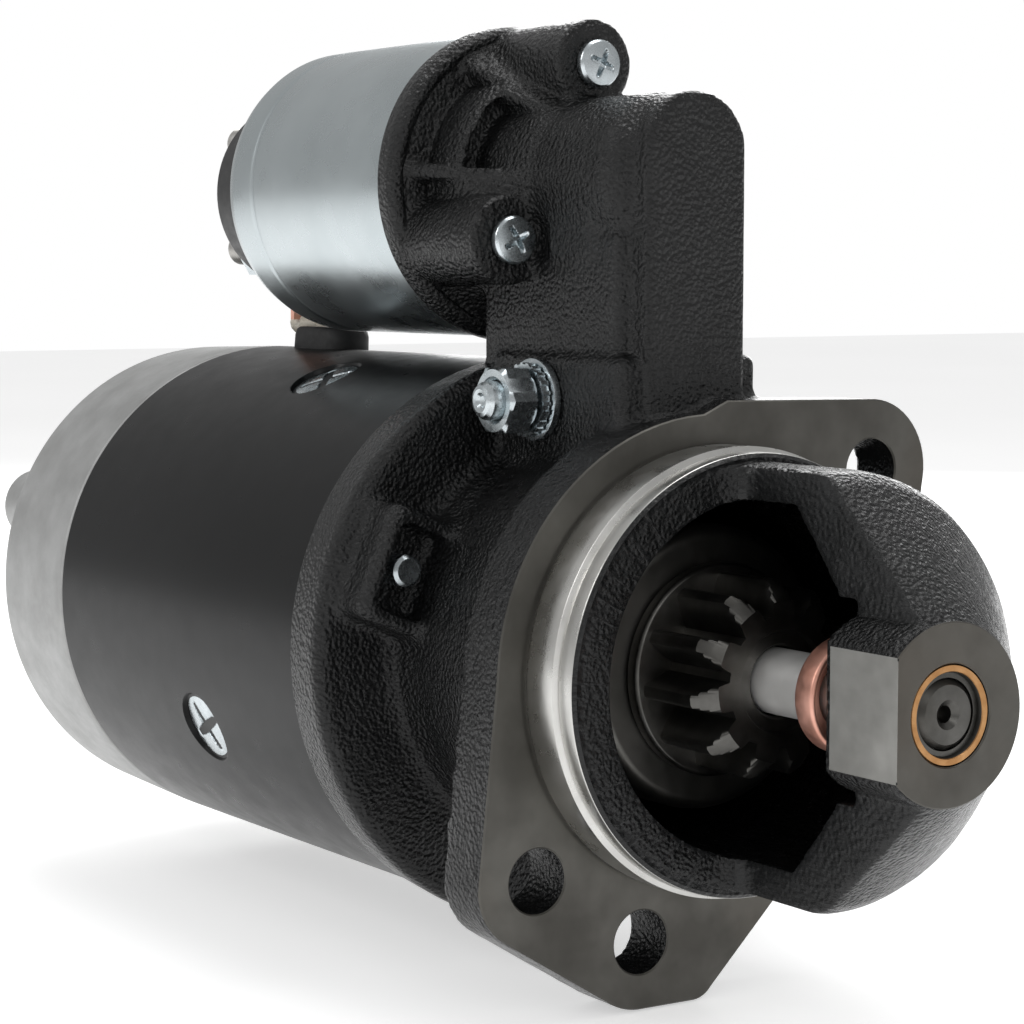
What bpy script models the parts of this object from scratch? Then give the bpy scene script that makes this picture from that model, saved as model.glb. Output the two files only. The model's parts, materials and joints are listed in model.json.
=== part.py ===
"""Starter motor: pre-engaged type, cast drive-end housing, solenoid on top.

Metres, +Z up. The shaft lies on the X axis with the drive end at +X, and the
origin is where that axis crosses the front face of the mounting flange. The
solenoid sits straight above the motor, and the window in the nose faces -Y.
"""

from math import acos, asin, atan, cos, pi, radians, sin, tan

import bmesh
import bpy
from mathutils import Matrix, Vector

# ---------------------------------------------------------------- fits
GAP = 0.0003                 # between two pieces that touch
RUN = 0.0004                 # between two pieces that turn or slide
WELD = 0.00001               # merge distance

# ---------------------------------------------------------------- motor
YOKE_R = 0.0593
YOKE_WALL = 0.0060
YOKE_L = 0.1147
COVER_L = 0.0352             # rear cover, seam to rim
COVER_WALL = 0.0045
COVER_DOME = 0.0082          # how far the end wall stands behind the rim
POLES = 4
POLE_ANGLE = radians(113.0)  # first pole, about +X from +Y
POLE_T = 0.0165              # pole face to yoke
POLE_TIP_T = 0.0050
POLE_HALF_W = 0.0125
AIR_GAP = 0.0006
COIL_W = 0.0085
COIL_END = 0.0052
FRONT_ROOM = 0.0099          # yoke front to pole front
BRUSH_ROOM = 0.0247          # pole rear to yoke rear
CORE_SLOTS = 23
WINDING_L = 0.0115
COMMUTATOR_R = 0.0195
COMMUTATOR_L = 0.0270
BRUSH_W = 0.0120
BRUSH_L = 0.0180
BRUSH_DEPTH = 0.0160
BOLT_R = 0.0033              # through bolts
BOLT_INSET = 0.0053          # bolt axis inside the yoke bore
BOLT_ANGLE = POLE_ANGLE + radians(45.0)
BOLT_BOSS_R = 0.0092
BOLT_BOSS_OUT = 0.0040       # boss behind the cover's end wall
BOLT_HEAD_T = 0.0085
POLE_SCREW_HEAD_R = 0.0080
POLE_SCREW_HEAD_T = 0.0040
POLE_SCREW_R = 0.0050
POLE_SCREW_SINK = 0.0006

# ---------------------------------------------------------------- shaft
SHAFT_R = 0.0064             # nose end
SPLINE_R = 0.0075
CORE_SHAFT_R = 0.0090
REAR_JOURNAL_R = 0.0060
BUSH_WALL = 0.0024
COLLAR_R = 0.0110
COLLAR_L = 0.0057
COLLAR_X = 0.0390            # rear face of the stop collar

# ---------------------------------------------------------------- drive-end housing
FLANGE_T = 0.0125
PILOT_R = 0.04445
PILOT_L = 0.0100
SECOND_BAND_R = 0.0435
RING_X = 0.0150              # front face of the ring behind the window
NOSE_R = 0.0418
NOSE_BORE_R = 0.0350
SHOULDER_X = 0.0405          # the nose starts to taper
NOSE_X = 0.0698              # end face of the boss
BOSS_R = 0.0168
BOSS_L = 0.0200
BOSS_FLAT_Y = -0.0125
POCKET_R = 0.0195            # hollow round the stop collar
POCKET_X = 0.0443
INNER_TAPER_X = 0.0320
WINDOW_Y = -0.0050           # the window's long face
WINDOW_FILLET = 0.0060
FLANGE_R = 0.0500
FLANGE_TOP_Z = 0.0528
BODY_R_FRONT = 0.0455
BODY_R_REAR = 0.0410
BODY_L = 0.0500              # flange face to the drum
BODY_BORE_R = 0.0355
DRUM_L = 0.0133
DRUM_WALL = 0.0060
DRUM_PROUD = 0.0020          # ridge above the yoke
LIP_PROUD = 0.0008
SPIGOT_L = 0.0040
SPIGOT_WALL = 0.0040
HOLE_R = 0.0064
HOLES = ((-0.0412, -0.0380), (-0.0166, -0.0532), (0.0413, 0.0376))
EAR_R = (0.0133, 0.0135, 0.0146)

# ---------------------------------------------------------------- solenoid
SOLENOID_R = 0.0327
SOLENOID_L = 0.0727
SOLENOID_WALL = 0.0025
SOLENOID_LIFT = 0.0046       # solenoid above the yoke
SOLENOID_X = -0.0725         # its front face
SOLENOID_PLATE = 0.0040
SOLENOID_TAPER_R = 0.0292
CAP_R = 0.0232
CAP_L = 0.0230               # how far the cap stands out
CAP_WALL = 0.0040
CAP_BORE = 0.0194
PLUNGER_R = 0.0105
PLUNGER_TRAVEL = 0.0120
PLUNGER_REST_GAP = 0.0005    # left in front of the core when pulled in
SPRING_WIRE = 0.0011
SPRING_TURNS = 4
CORE_BOSS_L = 0.0180
ROD_R = 0.0030
CONTACT_RATIO = 0.25
STUD_R = 0.0040
STUD_SPREAD = 0.0130
STUD_L = 0.0200
NUT_AF = 0.0130
NUT_T = 0.0065
MOUNT_R = 0.0340             # casting face that carries the solenoid
MOUNT_T = 0.0065
MOUNT_SCREWS = 3
MOUNT_SCREW_PITCH = 0.0242
MOUNT_SCREW_R = 0.0027
MOUNT_HEAD_R = 0.0050
MOUNT_HEAD_T = 0.0022
LUG_R = 0.0092
LUG_X = -0.0400              # seat of the screw heads

# ---------------------------------------------------------------- fork housing
SNOUT_R = 0.0172
SNOUT_X = -0.0120
TOWER_HALF_W = 0.0150
TOWER_X = -0.0100
TOWER_REAR_X = -0.0600
SLAB_HALF_W = 0.0125
SLAB_X = -0.0050
BASE_HALF_W = 0.0170
BASE_X = -0.0070
BASE_Z = 0.0610
FORK_WELL_HALF_W = 0.0122
PIVOT_X = -0.0355
PIVOT_Z = 0.0522
PIVOT_R = 0.0040

# ---------------------------------------------------------------- fork and drive
FORK_T = 0.0080
FORK_HUB_R = 0.0080
FORK_HUB_HALF_W = 0.0105
FORK_TOP_HALF_W = 0.0040
PRONG_W = 0.0044
PRONG_Y = 0.0180
PAD_R = 0.0035
PAD_L = 0.0028
PIN_R = 0.0028
CLEVIS_HALF_W = 0.0088
CLEVIS_HALF_H = 0.0050
TEETH = 11
MODULE = 0.0030
PINION_X = 0.0229            # front face at rest
PINION_L = 0.0190
PINION_COLLAR_R = 0.0212
PINION_COLLAR_L = 0.0030
HUB_R = 0.0145
HUB_L = 0.0140
CLUTCH_R = 0.0285
CLUTCH_L = 0.0225
SLEEVE_R = 0.0100
RING_R = 0.0155
RING_FLANGE = 0.0022

# ---------------------------------------------------------------- worked out
YOKE_BORE = YOKE_R - YOKE_WALL
DRUM_X = -BODY_L - DRUM_L
YOKE_X = DRUM_X - GAP                      # yoke front
YOKE_REAR = YOKE_X - YOKE_L
COVER_X = YOKE_REAR - GAP
RIM_X = COVER_X - COVER_L
COVER_END = RIM_X - COVER_DOME
POLE_R = YOKE_BORE - POLE_T
CORE_R = POLE_R - AIR_GAP
POLE_FRONT = YOKE_X - FRONT_ROOM
POLE_REAR = YOKE_REAR + BRUSH_ROOM
SOLENOID_Z = YOKE_R + SOLENOID_LIFT + SOLENOID_R
SOLENOID_REAR = SOLENOID_X - SOLENOID_L
BOLT_RADIUS = YOKE_BORE - BOLT_INSET
FORK_SWING = atan(PLUNGER_TRAVEL / 2 / (SOLENOID_Z - PIVOT_Z))   # each side of upright
DRIVE_TRAVEL = 2 * PIVOT_Z * tan(FORK_SWING)
PIN_X = PIVOT_X + PLUNGER_TRAVEL / 2
GROOVE_X = PIVOT_X - DRIVE_TRAVEL / 2
CLUTCH_FRONT = PINION_X - PINION_L - PINION_COLLAR_L - GAP
CLUTCH_REAR = CLUTCH_FRONT - CLUTCH_L
BUSH_R = SHAFT_R + RUN + BUSH_WALL
REAR_BUSH_R = REAR_JOURNAL_R + RUN + BUSH_WALL

ROUND = 36                   # sides of the big turned pieces
MEDIUM = 24
SMALL = 14
FINE = 10


# ================================================================ scene and helpers
def clear_scene():
    for item in list(bpy.data.objects):
        bpy.data.objects.remove(item, do_unlink=True)


def collection(name):
    made = bpy.data.collections.new(name)
    bpy.context.scene.collection.children.link(made)
    return made


def finish_material(name, colour, roughness, metallic):
    made = bpy.data.materials.new(name)
    made.use_nodes = True
    shader = made.node_tree.nodes["Principled BSDF"]
    shader.inputs["Base Color"].default_value = (*colour, 1.0)
    shader.inputs["Roughness"].default_value = roughness
    shader.inputs["Metallic"].default_value = metallic
    made.diffuse_color = (*colour, 1.0)
    return made


clear_scene()
PARTS = collection("starter_motor")
CUTTERS = collection("cutters")

BLACK_CASTING = finish_material("black_casting", (0.020, 0.021, 0.021), 0.45, 0.0)
BLACK_PAINT = finish_material("black_paint", (0.025, 0.025, 0.024), 0.40, 0.0)
ALUMINIUM = finish_material("cast_aluminium", (0.50, 0.51, 0.50), 0.55, 0.9)
ZINC = finish_material("zinc_plate", (0.56, 0.61, 0.64), 0.30, 1.0)
STEEL = finish_material("ground_steel", (0.50, 0.50, 0.49), 0.28, 1.0)
DARK_STEEL = finish_material("hardened_steel", (0.11, 0.11, 0.105), 0.42, 1.0)
LAMINATION = finish_material("lamination_steel", (0.22, 0.21, 0.20), 0.50, 1.0)
COPPER = finish_material("copper", (0.72, 0.36, 0.25), 0.32, 1.0)
BRONZE = finish_material("sintered_bronze", (0.50, 0.29, 0.13), 0.45, 1.0)
VARNISHED_WIRE = finish_material("varnished_winding", (0.30, 0.12, 0.05), 0.45, 0.3)
CARBON = finish_material("carbon", (0.05, 0.05, 0.05), 0.60, 0.2)
BLACK_PLASTIC = finish_material("moulded_cap", (0.018, 0.018, 0.018), 0.45, 0.0)
RUBBER = finish_material("rubber", (0.014, 0.014, 0.014), 0.70, 0.0)
SLEEVING = finish_material("woven_sleeve", (0.66, 0.61, 0.52), 0.80, 0.0)


def add_object(name, mesh, material, place=None):
    made = bpy.data.objects.new(name, mesh)
    (PARTS if material else CUTTERS).objects.link(made)
    if place is not None:
        made.matrix_world = place
    if material:
        mesh.materials.append(material)
        mesh.shade_smooth()
        mesh.set_sharp_from_angle(angle=radians(32))
    else:
        made.hide_render = True
        made.display_type = "WIRE"
    return made


def turned(name, profile, material=None, place=None, sides=MEDIUM):
    """A profile of (x, radius) points turned about the X axis, closed into a loop
    unless it starts and ends on the axis."""
    on_axis = profile[0][1] == 0.0 and profile[-1][1] == 0.0
    area = sum(
        a[0] * b[1] - b[0] * a[1] for a, b in zip(profile, profile[1:] + profile[:1])
    )
    points = profile if area > 0 else profile[::-1]
    mesh = bpy.data.meshes.new(name)
    edges = [(i, i + 1) for i in range(len(points) - 1)]
    if not on_axis:
        edges.append((len(points) - 1, 0))
    mesh.from_pydata([(x, 0.0, r) for x, r in points], edges, [])
    made = add_object(name, mesh, material, place)
    screw = made.modifiers.new("turn", "SCREW")
    screw.axis = "X"
    screw.angle = 2 * pi
    screw.steps = screw.render_steps = sides
    screw.use_merge_vertices = True
    screw.merge_threshold = WELD
    screw.use_smooth_shade = True
    return made


def rod(name, x0, x1, radius, material=None, place=None, sides=SMALL):
    return turned(name, [(x0, 0.0), (x0, radius), (x1, radius), (x1, 0.0)], material, place, sides)


def tube(name, x0, x1, inner, outer, material=None, place=None, sides=MEDIUM):
    profile = [(x0, inner), (x0, outer), (x1, outer), (x1, inner)]
    return turned(name, profile, material, place, sides)


def box(name, low, high, material=None, place=None):
    made = bmesh.new()
    bmesh.ops.create_cube(made, size=1.0)
    size = Vector(high) - Vector(low)
    middle = (Vector(high) + Vector(low)) / 2
    bmesh.ops.transform(
        made, matrix=Matrix.Translation(middle) @ Matrix.Diagonal((*size, 1.0)), verts=made.verts
    )
    mesh = bpy.data.meshes.new(name)
    made.to_mesh(mesh)
    made.free()
    return add_object(name, mesh, material, place)


def plate(name, loops, low, high, material=None, place=None, along="X"):
    """Flat outlines filled and given the thickness low..high. An outline's two numbers
    are Y and Z where it lies along X, and X and Z where it lies along Y."""
    curve = bpy.data.curves.new(name + "_outline", "CURVE")
    curve.dimensions = "2D"
    curve.fill_mode = "BOTH"
    curve.extrude = (high - low) / 2
    for loop in loops:
        spline = curve.splines.new("POLY")
        spline.points.add(len(loop) - 1)
        for point, (a, b) in zip(spline.points, loop):
            point.co = (a, b, 0.0, 1.0)
        spline.use_cyclic_u = True
    guide = bpy.data.objects.new(name + "_outline", curve)
    CUTTERS.objects.link(guide)
    graph = bpy.context.evaluated_depsgraph_get()
    mesh = bpy.data.meshes.new_from_object(guide.evaluated_get(graph))
    bpy.data.objects.remove(guide, do_unlink=True)
    mesh.name = name
    middle = (low + high) / 2
    if along == "X":
        turn = Matrix(((0, 0, 1, middle), (1, 0, 0, 0), (0, 1, 0, 0), (0, 0, 0, 1)))
    else:
        turn = Matrix(((1, 0, 0, 0), (0, 0, -1, middle), (0, 1, 0, 0), (0, 0, 0, 1)))
    work = bmesh.new()
    work.from_mesh(mesh)
    bmesh.ops.transform(work, matrix=turn, verts=work.verts)
    bmesh.ops.remove_doubles(work, verts=work.verts, dist=WELD)
    bmesh.ops.recalc_face_normals(work, faces=work.faces)
    work.to_mesh(mesh)
    work.free()
    return add_object(name, mesh, material, place)


def arc(centre, radius, start, end, steps):
    """Points on an arc from one angle to another, in radians."""
    return [
        (
            centre[0] + radius * cos(start + (end - start) * i / steps),
            centre[1] + radius * sin(start + (end - start) * i / steps),
        )
        for i in range(steps + 1)
    ]


def boolean(target, other, operation):
    made = target.modifiers.new(other.name, "BOOLEAN")
    made.operation = operation
    made.object = other
    return target


def cut(target, *others):
    for other in others:
        boolean(target, other, "DIFFERENCE")
    return target


def join(target, *others):
    for other in others:
        boolean(target, other, "UNION")
    return target


def about_x(angle, y=0.0, z=0.0):
    """Turned by an angle about the X axis, then moved."""
    return Matrix.Translation((0.0, y, z)) @ Matrix.Rotation(angle, 4, "X")


def along_y(x, z):
    """Puts what was turned about the X axis on a line along Y."""
    return Matrix.Translation((x, 0.0, z)) @ Matrix.Rotation(pi / 2, 4, "Z")


def outwards(angle, x):
    """Puts what was turned about the X axis on a radius of the motor."""
    return Matrix.Rotation(angle, 4, "X") @ Matrix.Translation((x, 0, 0)) @ Matrix.Rotation(pi / 2, 4, "Z")


def at_solenoid():
    return Matrix.Translation((0.0, 0.0, SOLENOID_Z))


def hexagon(name, low, high, across_flats, bore, material, place=None):
    corner = across_flats / 2 / cos(pi / 6)
    outline = [(corner * cos(pi / 3 * i), corner * sin(pi / 3 * i)) for i in range(6)]
    loops = [outline]
    if bore:
        loops.append(arc((0, 0), bore, 0, 2 * pi, FINE)[:-1])
    return plate(name, loops, low, high, material, place)


def wire(name, points, radius, material, sides=2):
    """A wire of round section along points, closed at its ends."""
    curve = bpy.data.curves.new(name + "_path", "CURVE")
    curve.dimensions = "3D"
    curve.bevel_depth = radius
    curve.bevel_resolution = sides
    curve.use_fill_caps = True
    spline = curve.splines.new("POLY")
    spline.points.add(len(points) - 1)
    for point, place in zip(spline.points, points):
        point.co = (*place, 1.0)
    guide = bpy.data.objects.new(name + "_path", curve)
    CUTTERS.objects.link(guide)
    graph = bpy.context.evaluated_depsgraph_get()
    mesh = bpy.data.meshes.new_from_object(guide.evaluated_get(graph))
    bpy.data.objects.remove(guide, do_unlink=True)
    mesh.name = name
    work = bmesh.new()
    work.from_mesh(mesh)
    bmesh.ops.remove_doubles(work, verts=work.verts, dist=WELD)
    bmesh.ops.recalc_face_normals(work, faces=work.faces)
    work.to_mesh(mesh)
    work.free()
    return add_object(name, mesh, material)


def coil_points(x0, x1, radius, turns, z=0.0, steps=12):
    count = turns * steps
    return [
        (
            x0 + (x1 - x0) * i / count,
            radius * cos(2 * pi * i / steps),
            z + radius * sin(2 * pi * i / steps),
        )
        for i in range(count + 1)
    ]


# ================================================================ drive-end housing
def flange_outline():
    """Ears round the three bolt holes, joined by the round body and straight edges."""
    low, bottom, top = HOLES
    lower_corner = (bottom[0] + 0.0131, bottom[1] - 0.0081)
    points = []
    points += arc((0, 0), FLANGE_R, radians(92), radians(178), 14)
    points += arc(low, EAR_R[0], radians(184), radians(234), 6)
    points += arc(bottom, EAR_R[1], radians(240), radians(268), 4)
    points += arc(lower_corner, 0.0055, radians(270), radians(322), 4)
    points += arc((0, 0), FLANGE_R, radians(-66), radians(-12), 8)
    points += arc(top, EAR_R[2], radians(-8), radians(85), 8)
    points += [(0.004, FLANGE_TOP_Z)]
    return points


def nose_profile():
    """Outside and inside of the nose, body and drum, as one closed loop of (x, radius)."""
    bore = BUSH_R + GAP
    ridge = YOKE_R + DRUM_PROUD
    spigot = YOKE_BORE - GAP
    outside = [
        (NOSE_X, bore), (NOSE_X, BOSS_R), (SHOULDER_X + 0.002, NOSE_R - 0.0012),
        (SHOULDER_X - 0.002, NOSE_R), (RING_X, NOSE_R), (RING_X - 0.0004, SECOND_BAND_R),
        (PILOT_L + 0.0004, SECOND_BAND_R), (PILOT_L, PILOT_R), (-0.002, PILOT_R),
        (-FLANGE_T + 0.002, BODY_R_FRONT), (-FLANGE_T - 0.004, BODY_R_FRONT - 0.0006),
        (-BODY_L + 0.004, BODY_R_REAR), (-BODY_L, BODY_R_REAR + 0.003),
        (-BODY_L, ridge - 0.0010), (-BODY_L - 0.0010, ridge),
        (DRUM_X, YOKE_R + LIP_PROUD), (DRUM_X, spigot), (DRUM_X - SPIGOT_L, spigot),
    ]
    inside = [
        (DRUM_X - SPIGOT_L, spigot - SPIGOT_WALL), (-BODY_L - DRUM_WALL, spigot - SPIGOT_WALL),
        (-BODY_L - DRUM_WALL, BODY_BORE_R), (-0.004, BODY_BORE_R), (-0.002, NOSE_BORE_R),
        (INNER_TAPER_X, NOSE_BORE_R), (POCKET_X, POCKET_R + 0.0005), (POCKET_X, POCKET_R),
        (NOSE_X - BOSS_L, POCKET_R), (NOSE_X - BOSS_L, bore),
    ]
    return outside + inside


def snout_profile():
    """Round housing of the plunger, with a rounded end, widening to the solenoid's seat."""
    edge = 0.0060
    nose = [
        (SNOUT_X - edge + edge * sin(a), SNOUT_R - edge + edge * cos(a))
        for a in (radians(90), radians(60), radians(30), 0.0)
    ]
    mount_x = SOLENOID_X + GAP
    return (
        [(SNOUT_X, 0.0)] + nose
        + [
            (LUG_X - 0.004, SNOUT_R), (mount_x + MOUNT_T + 0.004, MOUNT_R - 0.0075),
            (mount_x + MOUNT_T, MOUNT_R - 0.006), (mount_x + MOUNT_T, MOUNT_R - 0.0006),
            (mount_x + MOUNT_T - 0.0006, MOUNT_R), (mount_x, MOUNT_R), (mount_x, 0.0),
        ]
    )


def mount_screw_places():
    for i in range(MOUNT_SCREWS):
        angle = radians(90) + 2 * pi / MOUNT_SCREWS * i
        yield (
            i + 1,
            MOUNT_SCREW_PITCH * cos(angle),
            SOLENOID_Z + MOUNT_SCREW_PITCH * sin(angle),
        )


def window_outline():
    """The window in plan: behind it the ring's face, beside it the long face, a fillet between."""
    centre = (RING_X + WINDOW_FILLET, WINDOW_Y - WINDOW_FILLET)
    corner = arc(centre, WINDOW_FILLET, radians(180), radians(90), 5)
    far_x = NOSE_X - BOSS_L
    clear = -NOSE_R - 0.010
    front = NOSE_X + 0.010
    return [(RING_X, clear)] + corner + [(front, WINDOW_Y), (front, clear)], far_x


def drive_end_housing():
    body = turned("drive_end_housing", nose_profile(), BLACK_CASTING, sides=ROUND)
    flange = plate(
        "flange_plate",
        [flange_outline(), arc((0, 0), NOSE_BORE_R + 0.004, 0, 2 * pi, ROUND // 2)[:-1]],
        -FLANGE_T, 0.0,
    )
    mount_x = SOLENOID_X + GAP
    tower = box("tower_body", (TOWER_REAR_X, -TOWER_HALF_W, 0.055), (TOWER_X, TOWER_HALF_W, SOLENOID_Z))
    slab = box("tower_slab", (TOWER_X - 0.004, -SLAB_HALF_W, 0.046), (SLAB_X, SLAB_HALF_W, SOLENOID_Z + 0.003))
    crown = rod("tower_crown", TOWER_X - 0.006, SLAB_X, SLAB_HALF_W, place=about_x(0, 0, SOLENOID_Z + 0.003), sides=SMALL)
    base = box("tower_base", (-BODY_L - 0.002, -BASE_HALF_W, 0.034), (BASE_X, BASE_HALF_W, BASE_Z))
    snout = turned("snout", snout_profile(), place=at_solenoid(), sides=MEDIUM)
    boss = bolt_boss(BOLT_ANGLE, "boss_1")
    boss_two = bolt_boss(BOLT_ANGLE + pi, "boss_2")
    join(body, flange, base, tower, slab, crown, snout, boss, boss_two)
    for i, y, z in mount_screw_places():
        lug = rod(f"lug_{i}", mount_x + 0.002, LUG_X, LUG_R, place=about_x(0, y, z), sides=SMALL)
        join(body, lug)
    for i in range(2):
        rib = box(f"rib_{i + 1}", (mount_x + 0.002, 0.012, -0.0018), (LUG_X - 0.012, MOUNT_R - 0.007, 0.0018),
                  place=at_solenoid() @ Matrix.Rotation(pi * i, 4, "X"))
        join(body, rib)

    # the window, and the flat beside it on the boss
    window, far_x = window_outline()
    opening = plate("window_cut", [[(x, y) for x, y in window]], -NOSE_R - 0.01, NOSE_R + 0.01, along="X")
    # the outline above is in plan, so it is stood up: its X stays, its second number becomes Y
    turn = Matrix(((0, 1, 0, 0), (0, 0, 1, 0), (1, 0, 0, 0), (0, 0, 0, 1)))
    opening.data.transform(turn)
    keep_boss = rod("boss_keep", far_x, NOSE_X + 0.02, BOSS_R + 0.0003, sides=ROUND + 8)
    cut(opening, keep_boss)
    flat = box("boss_flat_cut", (far_x - 0.001, -BOSS_R - 0.005, -BOSS_R - 0.002),
               (NOSE_X + 0.001, BOSS_FLAT_Y, BOSS_R + 0.002))
    cut(body, opening, flat)

    # the well that the fork swings in, and the plunger's bore
    well = box("fork_well_cut", (GROOVE_X - 0.0095, -FORK_WELL_HALF_W, 0.0),
               (-FLANGE_T - 0.0022, FORK_WELL_HALF_W, SOLENOID_Z))
    bore = turned(
        "plunger_bore_cut",
        [(mount_x - 0.01, 0.0), (mount_x - 0.01, PLUNGER_R + 0.0040), (PIN_X - 0.0165, PLUNGER_R + 0.0040),
         (PIN_X - 0.0165, PLUNGER_R + 0.0030), (PIN_X + 0.0075, PLUNGER_R + 0.0030), (PIN_X + 0.0075, 0.0)],
        place=at_solenoid(), sides=SMALL,
    )
    cut(body, well, bore)
    for i, (y, z) in enumerate(HOLES):
        cut(body, rod(f"flange_hole_{i}", -FLANGE_T - 0.02, 0.01, HOLE_R, place=about_x(0, y, z)))
    for i, y, z in mount_screw_places():
        cut(body, rod(f"mount_hole_{i}", mount_x - 0.01, LUG_X + 0.01, MOUNT_SCREW_R + GAP,
                      place=about_x(radians(9), y, z), sides=FINE))
    cut(body, rod("pivot_hole", -0.03, 0.03, PIVOT_R + GAP, place=along_y(PIVOT_X, PIVOT_Z), sides=FINE))
    for i in range(2):
        angle = BOLT_ANGLE + pi * i
        cut(body, rod(f"bolt_hole_{i}", DRUM_X - 0.02, -BODY_L + 0.02, BOLT_R + GAP,
                      place=about_x(angle) @ Matrix.Translation((0, BOLT_RADIUS, 0)), sides=FINE))
        cut(body, bolt_pocket(angle, f"bolt_pocket_{i}"))
    return body


def bolt_boss(angle, name):
    """Raised wall round the end of a through bolt, on the front of the drum."""
    return box(name, (-BODY_L - 0.001, BOLT_RADIUS - 0.0120, -0.0125),
               (-BODY_L + 0.0100, BOLT_RADIUS + 0.0085, 0.0125), place=about_x(angle))


def bolt_pocket(angle, name):
    return box(name, (-BODY_L + 0.0030, BOLT_RADIUS - 0.0062, -0.0090),
               (-BODY_L + 0.0105, BOLT_RADIUS + 0.0055, 0.0090), place=about_x(angle))


def nose_bush():
    tube("nose_bush", NOSE_X - BOSS_L + 0.001, NOSE_X - 0.0003, SHAFT_R + RUN, BUSH_R, BRONZE, sides=SMALL)


# ================================================================ motor
def field_housing():
    yoke = tube("field_housing", YOKE_X, YOKE_REAR, YOKE_BORE, YOKE_R, BLACK_PAINT, sides=ROUND)
    middle = (POLE_FRONT + POLE_REAR) / 2
    for i in range(POLES):
        place = outwards(POLE_ANGLE + 2 * pi / POLES * i, middle)
        seat = turned(
            f"pole_screw_seat_{i}",
            [(YOKE_R + 0.003, 0.0), (YOKE_R + 0.003, POLE_SCREW_HEAD_R + GAP),
             (YOKE_R - POLE_SCREW_SINK - POLE_SCREW_HEAD_T - GAP, POLE_SCREW_HEAD_R + GAP),
             (YOKE_R - POLE_SCREW_SINK - POLE_SCREW_HEAD_T - GAP, POLE_SCREW_R + GAP),
             (YOKE_BORE - 0.003, POLE_SCREW_R + GAP), (YOKE_BORE - 0.003, 0.0)],
            place=place, sides=SMALL,
        )
        cut(yoke, seat)
    cut(yoke, rod("lead_hole", YOKE_BORE - 0.004, YOKE_R + 0.004, GROMMET_NECK_R + GAP,
                  place=grommet_place(), sides=FINE))
    return yoke


def pole_outline():
    """Section of a pole shoe: a curved face with two tips, and a body up to the yoke."""
    tip = radians(30)
    back = POLE_R + POLE_TIP_T
    top = YOKE_BORE - GAP
    side_back = asin(POLE_HALF_W / back)
    side_top = asin(POLE_HALF_W / top)
    return (
        arc((0, 0), POLE_R, -tip, tip, 8)
        + arc((0, 0), back, tip, side_back, 3)
        + arc((0, 0), top, side_top, -side_top, 4)
        + arc((0, 0), back, -side_back, -tip, 3)
    )


def pole_shoes():
    middle = (POLE_FRONT + POLE_REAR) / 2
    for i in range(POLES):
        angle = POLE_ANGLE + 2 * pi / POLES * i
        shoe = plate(f"pole_shoe_{i + 1}", [pole_outline()], POLE_REAR, POLE_FRONT, LAMINATION, place=about_x(angle))
        cut(shoe, rod(f"pole_tap_{i}", YOKE_BORE - POLE_T * 0.65, YOKE_R, POLE_SCREW_R + GAP,
                      place=outwards(angle, middle), sides=FINE))
        head = YOKE_R - POLE_SCREW_SINK
        screw = turned(
            f"pole_screw_{i + 1}",
            [(head, 0.0), (head, POLE_SCREW_HEAD_R), (head - POLE_SCREW_HEAD_T, POLE_SCREW_HEAD_R),
             (head - POLE_SCREW_HEAD_T, POLE_SCREW_R), (YOKE_BORE - POLE_T * 0.6, POLE_SCREW_R),
             (YOKE_BORE - POLE_T * 0.6, 0.0)],
            ZINC, outwards(angle, middle), SMALL,
        )
        slot = POLE_SCREW_HEAD_R * 0.62
        for j in range(2):
            arm = (slot, 0.0008) if j else (0.0008, slot)
            cut(screw, box(f"pole_screw_cross_{i}_{j}", (head - 0.0015, -arm[0], -arm[1]),
                           (head + 0.002, arm[0], arm[1]), place=outwards(angle, middle)))


def field_coils():
    """A coil round each pole's body, filling the room between the pole tips and the yoke."""
    inner = POLE_R + POLE_TIP_T + GAP
    outer = YOKE_BORE - GAP
    half = asin(POLE_HALF_W / outer) + COIL_W / outer
    outline = arc((0, 0), outer, -half, half, 8) + arc((0, 0), inner, half, -half, 8)
    for i in range(POLES):
        place = about_x(POLE_ANGLE + 2 * pi / POLES * i)
        coil = plate(f"field_coil_{i + 1}", [outline], POLE_REAR - COIL_END - GAP, POLE_FRONT + COIL_END + GAP,
                     VARNISHED_WIRE, place)
        cut(coil, box(f"coil_eye_{i}", (POLE_REAR - GAP, inner * cos(half) - 0.01, -POLE_HALF_W - GAP),
                      (POLE_FRONT + GAP, outer + 0.01, POLE_HALF_W + GAP), place=place))


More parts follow.
